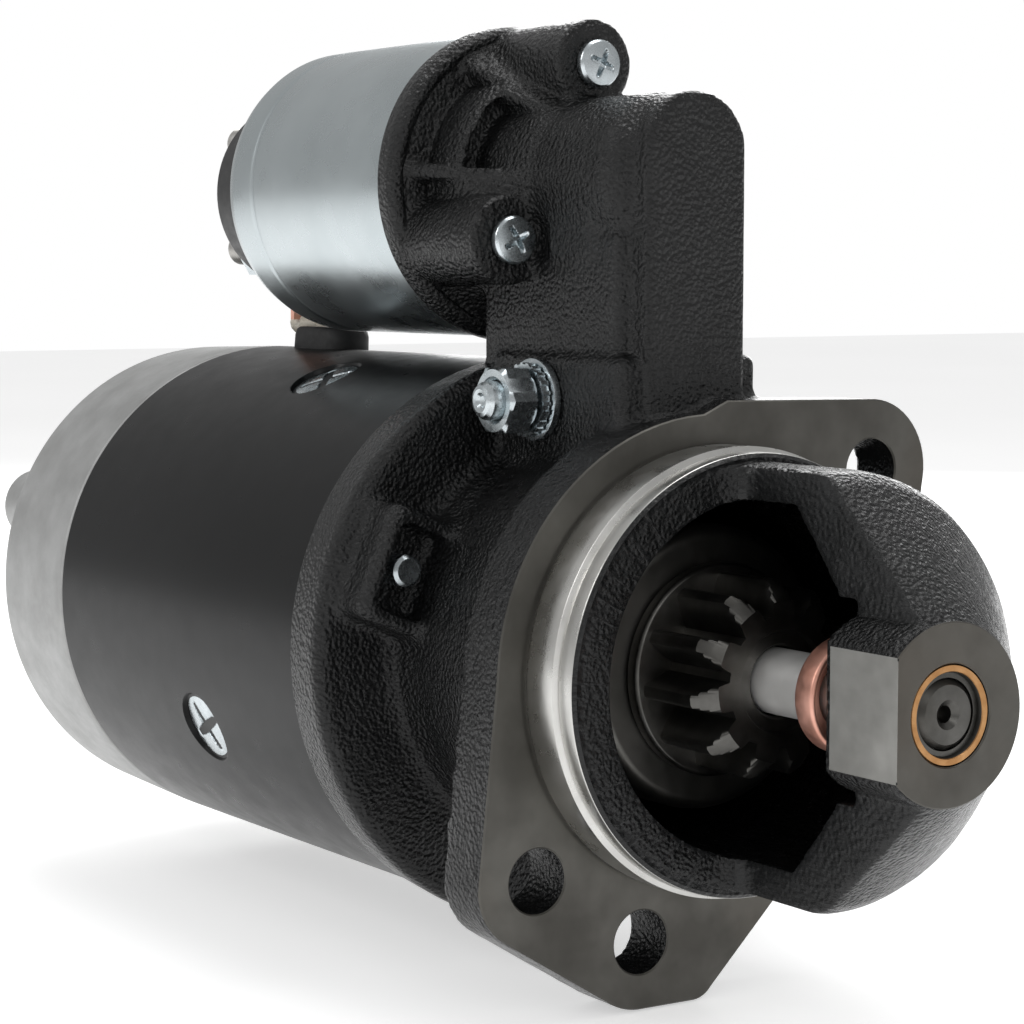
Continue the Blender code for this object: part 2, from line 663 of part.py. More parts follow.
def armature():
    front = POLE_FRONT
    rear = POLE_REAR
    comm_front = rear - WINDING_L - 2 * GAP
    comm_rear = comm_front - COMMUTATOR_L
    shaft = turned(
        "armature_shaft",
        [
            (NOSE_X - 0.0008, 0.0), (NOSE_X - 0.0008, SHAFT_R - 0.0010), (NOSE_X - 0.0018, SHAFT_R),
            (CLUTCH_FRONT - HUB_L - 0.0012, SHAFT_R), (CLUTCH_FRONT - HUB_L - 0.0012, SPLINE_R),
            (front + WINDING_L + 0.004, SPLINE_R), (front + WINDING_L + 0.004, CORE_SHAFT_R),
            (comm_rear - 0.002, CORE_SHAFT_R), (comm_rear - 0.002, REAR_JOURNAL_R),
            (COVER_END - 0.0020, REAR_JOURNAL_R), (COVER_END - 0.0020, 0.0),
        ],
        STEEL, sides=SMALL,
    )
    cut(shaft, rod("shaft_centre", NOSE_X - 0.006, NOSE_X + 0.002, 0.0018, sides=FINE))
    tooth = 2 * pi / CORE_SLOTS
    slot_r = CORE_R - 0.009
    outline = []
    for i in range(CORE_SLOTS):
        a = tooth * i
        outline += [
            (CORE_R * cos(a + s * tooth), CORE_R * sin(a + s * tooth)) for s in (0.0, 0.40, 0.80)
        ]
        outline += [(slot_r * cos(a + s * tooth), slot_r * sin(a + s * tooth)) for s in (0.82, 0.98)]
    bore = arc((0, 0), CORE_SHAFT_R + GAP, 0, 2 * pi, SMALL)[:-1]
    plate("armature_core", [outline, bore], rear, front, LAMINATION)
    coil_r = CORE_R - 0.0025
    tube("winding_front", front + GAP, front + GAP + WINDING_L, CORE_SHAFT_R + GAP, coil_r, VARNISHED_WIRE, sides=MEDIUM)
    tube("winding_rear", rear - GAP - WINDING_L, rear - GAP, CORE_SHAFT_R + GAP, coil_r, VARNISHED_WIRE, sides=MEDIUM)
    turned(
        "commutator",
        [
            (comm_front, CORE_SHAFT_R + GAP), (comm_front, COMMUTATOR_R + 0.0030),
            (comm_front - 0.0035, COMMUTATOR_R + 0.0030), (comm_front - 0.0035, COMMUTATOR_R),
            (comm_rear, COMMUTATOR_R), (comm_rear, CORE_SHAFT_R + GAP),
        ],
        COPPER, sides=MEDIUM,
    )
    return comm_front, comm_rear


def brush_gear(comm_front, comm_rear):
    """Four brushes on the commutator, in box guides on a steel plate inside the rear cover."""
    plate_x = comm_rear - 0.0030
    middle = (comm_front - 0.0035 + comm_rear) / 2
    bore = arc((0, 0), COMMUTATOR_R + 0.002, 0, 2 * pi, SMALL)[:-1]
    outer = COVER_BORE - 0.0013
    carrier = plate("brush_plate", [arc((0, 0), outer, 0, 2 * pi, MEDIUM)[:-1], bore],
                    plate_x - 0.0015, plate_x, ZINC)
    inner = COMMUTATOR_R + 0.0045
    for i in range(POLES):
        place = about_x(POLE_ANGLE + 2 * pi / POLES * i)
        low = (plate_x - 0.001, inner, -BRUSH_W / 2 - 0.0018)
        high = (middle + BRUSH_L / 2 + 0.0022, inner + BRUSH_DEPTH - 0.003, BRUSH_W / 2 + 0.0018)
        guide = box(f"brush_guide_{i}", low, high, place=place)
        join(carrier, guide)
        cut(carrier, box(f"brush_slot_{i}", (middle - BRUSH_L / 2 - GAP, inner - 0.002, -BRUSH_W / 2 - GAP),
                         (middle + BRUSH_L / 2 + GAP, inner + BRUSH_DEPTH, BRUSH_W / 2 + GAP), place=place))
        brush = box(f"brush_{i + 1}", (middle - BRUSH_L / 2, COMMUTATOR_R - 0.001, -BRUSH_W / 2),
                    (middle + BRUSH_L / 2, COMMUTATOR_R + BRUSH_DEPTH, BRUSH_W / 2), CARBON, place)
        cut(brush, rod(f"brush_seat_{i}", comm_rear - 0.004, comm_front + 0.001, COMMUTATOR_R + GAP, sides=MEDIUM))
    for i in range(2):
        cut(carrier, rod(f"plate_bolt_hole_{i}", plate_x - 0.01, plate_x + 0.01, BOLT_R + 2 * GAP,
                         place=about_x(BOLT_ANGLE + pi * i) @ Matrix.Translation((0, BOLT_RADIUS, 0)), sides=FINE))


COVER_BORE = YOKE_R - COVER_WALL - 0.0015
HUB_OUT = 0.0075
HUB_OUTER_R = REAR_BUSH_R + 0.0050


def rear_cover():
    """Cast cup with a rounded rim, a hub for the rear bush and two bosses for the bolts."""
    corner = 0.0060
    rim_r = YOKE_R - 0.0011
    wall_in = COVER_END + COVER_WALL
    rounding = [
        (RIM_X - corner * sin(a) + 0.0, rim_r - corner + corner * cos(a))
        for a in (0.0, radians(30), radians(60), radians(90))
    ]
    profile = (
        [(COVER_X, COVER_BORE), (COVER_X, YOKE_R - 0.0003)]
        + rounding
        + [
            (COVER_END, rim_r - 0.0160), (COVER_END, HUB_OUTER_R + 0.004), (COVER_END - HUB_OUT, HUB_OUTER_R),
            (COVER_END - HUB_OUT, REAR_BUSH_R + GAP), (COVER_END + 0.0060, REAR_BUSH_R + GAP),
            (COVER_END + 0.0060, HUB_OUTER_R), (wall_in, HUB_OUTER_R + 0.001),
            (wall_in, rim_r - 0.0160), (RIM_X, COVER_BORE - 0.001),
        ]
    )
    cover = turned("rear_cover", profile, ALUMINIUM, sides=ROUND)
    for i in range(2):
        place = about_x(BOLT_ANGLE + pi * i) @ Matrix.Translation((0, BOLT_RADIUS, 0))
        join(cover, rod(f"cover_boss_{i}", COVER_END - BOLT_BOSS_OUT, RIM_X + 0.010, BOLT_BOSS_R, place=place, sides=SMALL))
    for i in range(2):
        place = about_x(BOLT_ANGLE + pi * i) @ Matrix.Translation((0, BOLT_RADIUS, 0))
        cut(cover, rod(f"cover_bolt_hole_{i}", COVER_END - 0.02, COVER_X + 0.02, BOLT_R + GAP, place=place, sides=FINE))
    for i in range(2):
        cut(cover, rod(f"cap_screw_hole_{i}", COVER_END - 0.02, COVER_END - HUB_OUT + 0.0075, END_SCREW_R + GAP,
                       place=end_screw_place(i), sides=FINE))
    tube("rear_bush", COVER_END - HUB_OUT + 0.0008, COVER_END + 0.0055, REAR_JOURNAL_R + RUN, REAR_BUSH_R, BRONZE,
         sides=SMALL)


END_SCREW_R = 0.0016
END_SCREW_PITCH = REAR_BUSH_R + 0.0028
END_CAP_T = 0.0012


def end_screw_place(i):
    return about_x(radians(30) + pi * i) @ Matrix.Translation((0, END_SCREW_PITCH, 0))


def end_cap():
    """Pressed steel cover over the rear bush, with its two screws."""
    seat = COVER_END - HUB_OUT - GAP
    back = seat - 0.0032
    cap = turned(
        "end_cap",
        [
            (back, 0.0), (back, REAR_BUSH_R - 0.0012), (seat - END_CAP_T, REAR_BUSH_R + 0.0004),
            (seat - END_CAP_T, HUB_OUTER_R), (seat, HUB_OUTER_R), (seat, REAR_BUSH_R - 0.0008),
            (back + END_CAP_T, REAR_BUSH_R - 0.0022), (back + END_CAP_T, 0.0),
        ],
        ZINC, sides=SMALL,
    )
    head = seat - END_CAP_T - GAP
    for i in range(2):
        cut(cap, rod(f"end_cap_hole_{i}", seat - 0.01, seat + 0.01, END_SCREW_R + GAP, place=end_screw_place(i),
                     sides=FINE))
        turned(
            f"end_cap_screw_{i + 1}",
            [(head - 0.0016, 0.0), (head - 0.0016, 0.0019), (head - 0.0010, 0.0023), (head, 0.0023),
             (head, END_SCREW_R), (seat + 0.0065, END_SCREW_R), (seat + 0.0065, 0.0)],
            ZINC, end_screw_place(i), FINE,
        )


def through_bolts():
    """Long bolts from the rear cover to the drum of the drive-end housing."""
    seat = COVER_END - BOLT_BOSS_OUT - GAP
    for i in range(2):
        place = about_x(BOLT_ANGLE + pi * i) @ Matrix.Translation((0, BOLT_RADIUS, 0))
        bolt = hexagon(f"through_bolt_{i + 1}", seat - BOLT_HEAD_T, seat, 0.0100, 0.0, ZINC, place)
        tip = -BODY_L + 0.0085
        shank = turned(
            f"bolt_shank_{i}",
            [(seat - 0.001, 0.0), (seat - 0.001, BOLT_R), (tip - 0.0008, BOLT_R), (tip, BOLT_R - 0.0008), (tip, 0.0)],
            place=place, sides=FINE,
        )
        join(bolt, shank)


# ================================================================ drive
def pinion_outline(teeth, module):
    """Tooth outline: straight-sided teeth of full depth, narrower at the tip."""
    pitch = teeth * module / 2
    tip, root = pitch + module, pitch - 1.2 * module
    step = 2 * pi / teeth
    points = []
    for i in range(teeth):
        a = step * i + radians(90)
        for radius, share in ((root, -0.42), (pitch, -0.25), (tip, -0.11), (tip, 0.11), (pitch, 0.25), (root, 0.42)):
            points.append((radius * cos(a + share * step), radius * sin(a + share * step)))
    return points


def pinion():
    rear = PINION_X - PINION_L
    gear = plate("pinion", [pinion_outline(TEETH, MODULE)], rear - 0.0005, PINION_X, DARK_STEEL)
    tip = TEETH * MODULE / 2 + MODULE
    hub = turned(
        "pinion_hub",
        [
            (rear, 0.0), (rear, PINION_COLLAR_R), (rear - PINION_COLLAR_L, PINION_COLLAR_R),
            (rear - PINION_COLLAR_L, HUB_R), (rear - PINION_COLLAR_L - HUB_L, HUB_R),
            (rear - PINION_COLLAR_L - HUB_L, 0.0),
        ],
        sides=MEDIUM,
    )
    lead = turned(
        "pinion_lead_in",
        [
            (PINION_X + 0.002, tip - 0.0045), (PINION_X + 0.002, tip + 0.004), (PINION_X - 0.0035, tip + 0.004),
            (PINION_X - 0.0035, tip + 0.0005), (PINION_X + 0.0005, tip - 0.0035),
        ],
        sides=MEDIUM,
    )
    join(gear, hub)
    cut(gear, lead, rod("pinion_bore", rear - 0.04, PINION_X + 0.01, SHAFT_R + RUN, sides=SMALL))


def clutch():
    """Shell of the roller clutch, closed at the back round the splined sleeve."""
    turned(
        "clutch_shell",
        [
            (CLUTCH_FRONT, HUB_R + RUN), (CLUTCH_FRONT, CLUTCH_R - 0.0015), (CLUTCH_FRONT - 0.0015, CLUTCH_R),
            (CLUTCH_REAR + 0.0030, CLUTCH_R), (CLUTCH_REAR, CLUTCH_R - 0.0050), (CLUTCH_REAR, SPLINE_R + RUN),
            (CLUTCH_REAR + 0.0060, SPLINE_R + RUN), (CLUTCH_REAR + 0.0060, HUB_R + RUN),
        ],
        DARK_STEEL, sides=MEDIUM,
    )
    rear = GROOVE_X - PAD_R - RUN - RING_FLANGE - GAP
    turned(
        "guide_sleeve",
        [
            (CLUTCH_REAR - GAP, SPLINE_R + RUN), (CLUTCH_REAR - GAP, SLEEVE_R), (rear, SLEEVE_R),
            (rear, SLEEVE_R + 0.0035), (rear - 0.0025, SLEEVE_R + 0.0035), (rear - 0.0025, SPLINE_R + RUN),
        ],
        STEEL, sides=SMALL,
    )


def guide_ring():
    """Grooved ring on the sleeve. It holds still while the sleeve turns in it."""
    half = PAD_R + RUN
    inner = SLEEVE_R + RUN
    floor = inner + 0.0016
    turned(
        "guide_ring",
        [
            (GROOVE_X + half + RING_FLANGE, inner), (GROOVE_X + half + RING_FLANGE, RING_R),
            (GROOVE_X + half, RING_R), (GROOVE_X + half, floor), (GROOVE_X - half, floor),
            (GROOVE_X - half, RING_R), (GROOVE_X - half - RING_FLANGE, RING_R),
            (GROOVE_X - half - RING_FLANGE, inner),
        ],
        BLACK_PLASTIC, sides=MEDIUM,
    )
    front = GROOVE_X + half + RING_FLANGE + GAP + SPRING_WIRE
    wire("meshing_spring", coil_points(front, CLUTCH_REAR - GAP - SPRING_WIRE, SLEEVE_R + 0.0027, 2),
         SPRING_WIRE, STEEL, 1)


def stop_collar():
    end = COLLAR_X + COLLAR_L
    turned(
        "stop_collar",
        [
            (COLLAR_X, SHAFT_R + GAP), (COLLAR_X, COLLAR_R - 0.0008), (COLLAR_X + 0.0008, COLLAR_R),
            (end - 0.0004, COLLAR_R), (end, COLLAR_R - 0.0004), (end, COLLAR_R - 0.0012),
            (end - 0.0030, COLLAR_R - 0.0018), (end - 0.0030, SHAFT_R + GAP),
        ],
        COPPER, sides=MEDIUM,
    )


# ================================================================ fork
def fork_lever():
    """Lever on the pivot: one arm up to the plunger's pin, two prongs down to the ring.
    It is made upright, then leaned forward to where it rests."""
    lean = Matrix.Translation((PIVOT_X, 0, PIVOT_Z)) @ Matrix.Rotation(FORK_SWING, 4, "Y")
    hub = rod("fork_lever", -FORK_HUB_HALF_W, FORK_HUB_HALF_W, FORK_HUB_R, BLACK_CASTING,
              lean @ Matrix.Rotation(pi / 2, 4, "Z"), SMALL)
    reach = SOLENOID_Z - PIVOT_Z
    half = FORK_T / 2
    slot = PIN_R + 0.0006
    top = reach + 0.0055
    arm = plate(
        "fork_arm",
        [[(-half, 0.0), (half, 0.0), (half + 0.002, reach - 0.008), (half + 0.002, top), (slot, top),
          (slot, reach - slot - 0.0012), (-slot, reach - slot - 0.0012), (-slot, top), (-half - 0.002, top),
          (-half - 0.002, reach - 0.008)]],
        -FORK_TOP_HALF_W, FORK_TOP_HALF_W, place=lean, along="Y",
    )
    join(hub, arm)
    for side in (1, -1):
        join(hub, prong(side, lean))
        pad = rod(f"fork_pad_{side}", side * (PRONG_Y - PRONG_W / 2 - PAD_L), side * PRONG_Y, PAD_R,
                  place=lean @ Matrix.Translation((0, 0, -PIVOT_Z)) @ Matrix.Rotation(pi / 2, 4, "Z"), sides=FINE)
        join(hub, pad)
    cut(hub, rod("fork_eye", -0.02, 0.02, PIVOT_R + RUN, place=along_y(PIVOT_X, PIVOT_Z), sides=SMALL))


def prong(side, place):
    """One leg of the fork, seen from the front: down, out past the sleeve, then straight down."""
    route = [(0.0050, -0.002), (0.0055, -0.0160), (PRONG_Y - 0.0015, 0.0220 - PIVOT_Z), (PRONG_Y, -PIVOT_Z - PAD_R)]
    half = PRONG_W / 2
    left, right = [], []
    for i, (y, z) in enumerate(route):
        before = Vector(route[max(i - 1, 0)])
        after = Vector(route[min(i + 1, len(route) - 1)])
        way = (after - before).normalized()
        left.append((side * (y - way.y * half * -1.0), z - way.x * half * 1.0))
        right.append((side * (y + way.y * half * -1.0), z + way.x * half * 1.0))
    return plate(f"fork_prong_{side}", [left + right[::-1]], -FORK_T / 2, FORK_T / 2, place=place)


def pivot():
    """Bolt that the fork swings on, held by a nut on the -Y side."""
    side = BASE_HALF_W + GAP
    at = along_y(PIVOT_X, PIVOT_Z)
    flat_t, lock_t, nut_t = 0.0016, 0.0020, 0.0080
    bolt = hexagon("pivot_bolt", side, side + 0.0053, NUT_AF, 0.0, ZINC, at)
    # along_y turns +X to +Y, so the head is on the +Y side and the shank runs to -Y
    end = -(side + flat_t + lock_t + nut_t + 2 * GAP + 0.0022)
    shank = turned(
        "pivot_shank",
        [(side + 0.001, 0.0), (side + 0.001, PIVOT_R), (end + 0.0008, PIVOT_R), (end, PIVOT_R - 0.0008), (end, 0.0)],
        place=at, sides=FINE,
    )
    join(bolt, shank)
    start = -side
    tube("flat_washer", start - flat_t, start, PIVOT_R + GAP, 0.0085, ZINC, at, SMALL)
    start -= flat_t + GAP
    tube("lock_washer", start - lock_t, start, PIVOT_R + GAP, 0.0074, ZINC, at, SMALL)
    start -= lock_t + GAP
    nut = hexagon("pivot_nut", start - nut_t, start, NUT_AF, PIVOT_R + GAP, ZINC, at)
    crown = turned(
        "pivot_nut_crown",
        [(start - nut_t - 0.001, NUT_AF / 2 - 0.0012), (start - nut_t - 0.001, NUT_AF),
         (start - nut_t + 0.0022, NUT_AF), (start - nut_t + 0.0022, NUT_AF / 2 + 0.0012)],
        place=at, sides=SMALL,
    )
    cut(nut, crown)


# ================================================================ solenoid
def solenoid():
    at = at_solenoid()
    can_bore = SOLENOID_R - SOLENOID_WALL
    lip = CAP_R + RUN
    turned(
        "solenoid_body",
        [
            (SOLENOID_X, PLUNGER_R + RUN), (SOLENOID_X, SOLENOID_R), (SOLENOID_REAR + 0.0045, SOLENOID_R),
            (SOLENOID_REAR, SOLENOID_TAPER_R), (SOLENOID_REAR, lip), (SOLENOID_REAR + 0.0040, lip),
            (SOLENOID_REAR + 0.0040, can_bore), (SOLENOID_X - SOLENOID_PLATE, can_bore),
            (SOLENOID_X - SOLENOID_PLATE, PLUNGER_R + RUN),
        ],
        ZINC, at, ROUND,
    )
    coil_front = SOLENOID_X - SOLENOID_PLATE - GAP
    flange_front = SOLENOID_REAR + 0.0040 + 0.0048      # front face of the cap's flange
    core_rear = flange_front + GAP
    core_front = core_rear + 0.0065
    tube("solenoid_coil", core_front + GAP, coil_front, PLUNGER_R + RUN + 0.0006, can_bore - GAP, VARNISHED_WIRE, at,
         MEDIUM)
    boss_front = core_front + CORE_BOSS_L
    turned(
        "solenoid_core",
        [
            (boss_front, ROD_R + RUN), (boss_front, PLUNGER_R), (core_front, PLUNGER_R), (core_front, can_bore - GAP),
            (core_rear, can_bore - GAP), (core_rear, ROD_R + RUN),
        ],
        LAMINATION, at, SMALL,
    )
    plunger_rear = boss_front + PLUNGER_REST_GAP + PLUNGER_TRAVEL
    seat_x = SOLENOID_X + 0.0225
    clevis_front = PIN_X + 0.0050
    plunger = turned(
        "plunger",
        [
            (plunger_rear, 0.0), (plunger_rear, PLUNGER_R), (seat_x, PLUNGER_R), (seat_x, PLUNGER_R + 0.0032),
            (seat_x + 0.0020, PLUNGER_R + 0.0032), (seat_x + 0.0020, PLUNGER_R - 0.0005),
            (clevis_front, PLUNGER_R - 0.0005), (clevis_front, 0.0),
        ],
        STEEL, at, SMALL,
    )
    wide = 0.02
    for side in (1, -1):
        cut(plunger, box(f"clevis_side_{side}", (seat_x + 0.0030, side * CLEVIS_HALF_W, -wide),
                         (clevis_front + 0.01, side * wide, wide), place=at) if side > 0 else
            box(f"clevis_side_{side}", (seat_x + 0.0030, -wide, -wide), (clevis_front + 0.01, -CLEVIS_HALF_W, wide),
                place=at))
        low, high = (CLEVIS_HALF_H, wide) if side > 0 else (-wide, -CLEVIS_HALF_H)
        cut(plunger, box(f"clevis_top_{side}", (seat_x + 0.0030, -wide, low), (clevis_front + 0.01, wide, high),
                         place=at))
    # the slot also clears the corners of the fork's arm as it leans
    cut(plunger, box("clevis_slot", (seat_x + 0.0050, -FORK_TOP_HALF_W - RUN, -wide),
                     (clevis_front + 0.01, FORK_TOP_HALF_W + RUN, wide), place=at))
    # the pin is riveted through both cheeks, its ends flush with them
    join(plunger, rod("plunger_pin", -CLEVIS_HALF_W + GAP, CLEVIS_HALF_W - GAP, PIN_R,
                      place=along_y(PIN_X, SOLENOID_Z), sides=FINE))
    wire("plunger_spring", coil_points(SOLENOID_X + GAP + SPRING_WIRE, seat_x - GAP - SPRING_WIRE,
                                       PLUNGER_R + GAP + SPRING_WIRE + 0.0002, SPRING_TURNS, SOLENOID_Z),
         SPRING_WIRE, STEEL, 1)

    # contact rod and bridge: pushed back by the plunger at the end of its stroke
    stroke = CONTACT_RATIO * PLUNGER_TRAVEL
    rod_front = plunger_rear - PLUNGER_TRAVEL - GAP + stroke
    cap_in = SOLENOID_REAR - CAP_L + CAP_WALL
    head_t = 0.0025
    bridge_rear = cap_in + GAP + head_t + GAP + stroke
    bridge = turned(
        "contact_bridge",
        [
            (rod_front, 0.0), (rod_front, ROD_R), (bridge_rear + 0.0025, ROD_R), (bridge_rear + 0.0025, CAP_BORE - 0.0012),
            (bridge_rear, CAP_BORE - 0.0012), (bridge_rear, 0.0),
        ],
        COPPER, at, SMALL,
    )
    terminal_cap(at, flange_front, cap_in)
    terminals(cap_in, head_t)


def stud_places():
    """The two power terminals, one above the other, a little to the -Y side."""
    lean = -0.0050
    return (("battery", lean, STUD_SPREAD), ("motor", lean, -STUD_SPREAD))


def terminal_cap(at, flange_front, cap_in):
    can_bore = SOLENOID_R - SOLENOID_WALL
    back = SOLENOID_REAR - CAP_L
    cap = turned(
        "terminal_cap",
        [
            (flange_front, CAP_BORE), (flange_front, can_bore - GAP), (SOLENOID_REAR + 0.0040 + GAP, can_bore - GAP),
            (SOLENOID_REAR + 0.0040 + GAP, CAP_R), (back + 0.0015, CAP_R), (back, CAP_R - 0.0015), (back, 0.0),
            (cap_in, 0.0), (cap_in, CAP_BORE),
        ],
        BLACK_PLASTIC, at, MEDIUM,
    )
    for name, y, z in stud_places():
        cut(cap, rod(f"{name}_stud_hole", back - 0.01, cap_in + 0.01, STUD_R + GAP,
                     place=about_x(0, y, SOLENOID_Z + z), sides=FINE))
    cut(cap, rod("switch_hole", back - 0.01, cap_in + 0.01, 0.0020 + GAP, place=about_x(0, 0.0130, SOLENOID_Z),
                 sides=FINE))


def terminals(cap_in, head_t):
    back = SOLENOID_REAR - CAP_L
    for name, y, z in stud_places():
        place = about_x(0, y, SOLENOID_Z + z)
        end = back - STUD_L
        turned(
            f"{name}_stud",
            [
                (cap_in + GAP + head_t, 0.0), (cap_in + GAP + head_t, 0.0052), (cap_in + GAP, 0.0052),
                (cap_in + GAP, STUD_R), (end + 0.0008, STUD_R), (end, STUD_R - 0.0008), (end, 0.0),
            ],
            COPPER, place, SMALL,
        )
        seat = back - GAP - (LUG_T + GAP) * (name == "motor")
        hexagon(f"{name}_nut", seat - NUT_T, seat, NUT_AF, STUD_R + GAP, ZINC, place)
    switch = turned(
        "switch_terminal",
        [
            (cap_in + GAP + 0.0012, 0.0), (cap_in + GAP + 0.0012, 0.0036), (cap_in + GAP, 0.0036),
            (cap_in + GAP, 0.0020), (back - 0.0120, 0.0020), (back - 0.0120, 0.0),
        ],
        ZINC, about_x(0, 0.0130, SOLENOID_Z), FINE,
    )
    return switch


def solenoid_screws():
    """Cross-head screws through the casting's lugs into the solenoid's face."""
    for i, y, z in mount_screw_places():
        place = about_x(0, y, z)
        seat = LUG_X + GAP
        screw = turned(
            f"solenoid_screw_{i}",
            [
                (seat + MOUNT_HEAD_T, 0.0), (seat + MOUNT_HEAD_T, MOUNT_HEAD_R - 0.0010),
                (seat + MOUNT_HEAD_T - 0.0008, MOUNT_HEAD_R), (seat, MOUNT_HEAD_R), (seat, MOUNT_SCREW_R),
                (SOLENOID_X + 2 * GAP, MOUNT_SCREW_R), (SOLENOID_X + 2 * GAP, 0.0),
            ],
            ZINC, place, SMALL,
        )
        top = seat + MOUNT_HEAD_T
        for j in range(2):
            arm = (0.0026, 0.0006) if j else (0.0006, 0.0026)
            cut(screw, box(f"screw_cross_{i}_{j}", (top - 0.0012, -arm[0], -arm[1]), (top + 0.001, arm[0], arm[1]),
                           place=place @ Matrix.Rotation(radians(22), 4, "X")))


# ================================================================ lead
GROMMET_X = -0.1571
GROMMET_Y = 0.0035
GROMMET_L = 0.0234
GROMMET_HALF_W = 0.0065
GROMMET_H = 0.0048
GROMMET_NECK_R = 0.0042
LEAD_R = 0.0028
LEAD_BEND = 0.0044
LUG_T = 0.0016


def grommet_place():
    """The grommet stands on a radius of the yoke, close to its top."""
    return outwards(acos(GROMMET_Y / YOKE_R), GROMMET_X)


def lead_route(x_end):
    """Out of the grommet on its radius of the yoke, round a bend, then straight back."""
    angle = acos(GROMMET_Y / YOKE_R)
    out = Vector((0.0, cos(angle), sin(angle)))
    foot = Vector((GROMMET_X, 0.0, 0.0))
    top = foot + out * (YOKE_R + 0.0016)
    points = [foot + out * (YOKE_BORE - GAP / 3), top]
    for i in range(1, 4):
        a = radians(30 * i)
        points.append(top + out * (LEAD_BEND * sin(a)) + Vector((-LEAD_BEND * (1 - cos(a)), 0.0, 0.0)))
    return points + [Vector((x_end, points[-1].y, points[-1].z))]


def grommet():
    place = grommet_place()
    foot = YOKE_R + GAP
    half = GROMMET_L / 2 - GROMMET_HALF_W
    outline = (
        arc((half, 0), GROMMET_HALF_W, -pi / 2, pi / 2, 6) + arc((-half, 0), GROMMET_HALF_W, pi / 2, 3 * pi / 2, 6)
    )
    piece = plate("grommet", [outline], foot, foot + GROMMET_H, RUBBER, place)
    join(piece, rod("grommet_neck", YOKE_BORE + 0.0005, foot + 0.001, GROMMET_NECK_R, place=place))
    cut(piece, wire("lead_channel", lead_route(GROMMET_X - GROMMET_L), LEAD_R + GAP, None))


def field_lead():
    """Sleeved braid from the field coils, out through the grommet to a lug on the motor stud."""
    back = SOLENOID_REAR - CAP_L - GAP
    _, stud_y, stud_z = stud_places()[1]
    lug_z = SOLENOID_Z + stud_z
    route = lead_route(back - 0.0045)
    end = route[-1]
    lead = wire("field_lead", route, LEAD_R, SLEEVING)
    tail = 0.0042
    outline = arc((stud_y, lug_z), 0.0070, radians(-20), radians(200), 10) + [
        (end.y - tail, end.z + 0.0040), (end.y - tail, end.z + 0.0008),
        (end.y + tail, end.z + 0.0008), (end.y + tail, end.z + 0.0040),
    ]
    hole = arc((stud_y, lug_z), STUD_R + GAP, 0, 2 * pi, FINE)[:-1]
    join(lead, plate("lead_lug", [outline, hole], back - LUG_T, back))


drive_end_housing()
nose_bush()
field_housing()
pole_shoes()
field_coils()
brush_gear(*armature())
rear_cover()
end_cap()
through_bolts()
pinion()
clutch()
guide_ring()
stop_collar()
fork_lever()
pivot()
solenoid()
solenoid_screws()
grommet()
field_lead()
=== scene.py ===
"""Looks of the starter motor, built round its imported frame.

Sizes are in millimetres here and become metres when a piece is made. The shaft is
the X axis, the solenoid is above it along +Z, and the nose window faces -Y.
"""

import json
from math import pi, radians

import bpy
import numpy as np
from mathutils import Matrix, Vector
from mathutils.geometry import tessellate_polygon


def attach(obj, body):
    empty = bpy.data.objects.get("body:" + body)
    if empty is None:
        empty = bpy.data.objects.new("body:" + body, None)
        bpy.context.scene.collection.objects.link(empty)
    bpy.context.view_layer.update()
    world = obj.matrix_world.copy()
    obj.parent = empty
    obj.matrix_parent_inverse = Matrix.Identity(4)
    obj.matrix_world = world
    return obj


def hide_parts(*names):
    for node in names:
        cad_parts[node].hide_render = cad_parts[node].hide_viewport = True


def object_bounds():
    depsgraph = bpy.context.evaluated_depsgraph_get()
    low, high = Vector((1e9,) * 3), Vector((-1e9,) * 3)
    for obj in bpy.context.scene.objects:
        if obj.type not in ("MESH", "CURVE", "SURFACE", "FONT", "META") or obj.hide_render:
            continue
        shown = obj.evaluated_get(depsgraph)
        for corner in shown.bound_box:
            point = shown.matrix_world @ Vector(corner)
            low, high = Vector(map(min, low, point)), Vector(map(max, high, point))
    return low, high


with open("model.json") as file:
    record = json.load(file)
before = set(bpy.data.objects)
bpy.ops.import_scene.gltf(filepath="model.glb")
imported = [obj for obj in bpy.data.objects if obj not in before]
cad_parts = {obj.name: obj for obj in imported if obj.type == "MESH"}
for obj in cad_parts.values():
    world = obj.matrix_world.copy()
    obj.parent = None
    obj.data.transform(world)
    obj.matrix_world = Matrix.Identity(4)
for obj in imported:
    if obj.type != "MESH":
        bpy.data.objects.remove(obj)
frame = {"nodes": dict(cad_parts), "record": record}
CAD_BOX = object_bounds()
MM = 0.001
SOLENOID_Z = 96.6
ROUND = 168


# ------------------------------------------------------------------ making meshes
def piece(name, points, faces, finish, body="motor", stands_for=(), slot=None, crease=34.0):
    """A shown piece from points in millimetres; faces is a list of index tuples or an array of quads."""
    mesh = bpy.data.meshes.new(name)
    points = np.asarray(points, float) * MM
    mesh.from_pydata(points.tolist(), [], [tuple(int(i) for i in f) for f in faces])
    mesh.validate()
    mesh.update()
    mesh.shade_smooth()
    mesh.set_sharp_from_angle(angle=radians(crease))
    made = bpy.data.objects.new(name, mesh)
    bpy.context.scene.collection.objects.link(made)
    for one in finish if isinstance(finish, (list, tuple)) else [finish]:
        mesh.materials.append(one)
    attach(made, body)
    if stands_for:
        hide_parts(*stands_for)
    return made


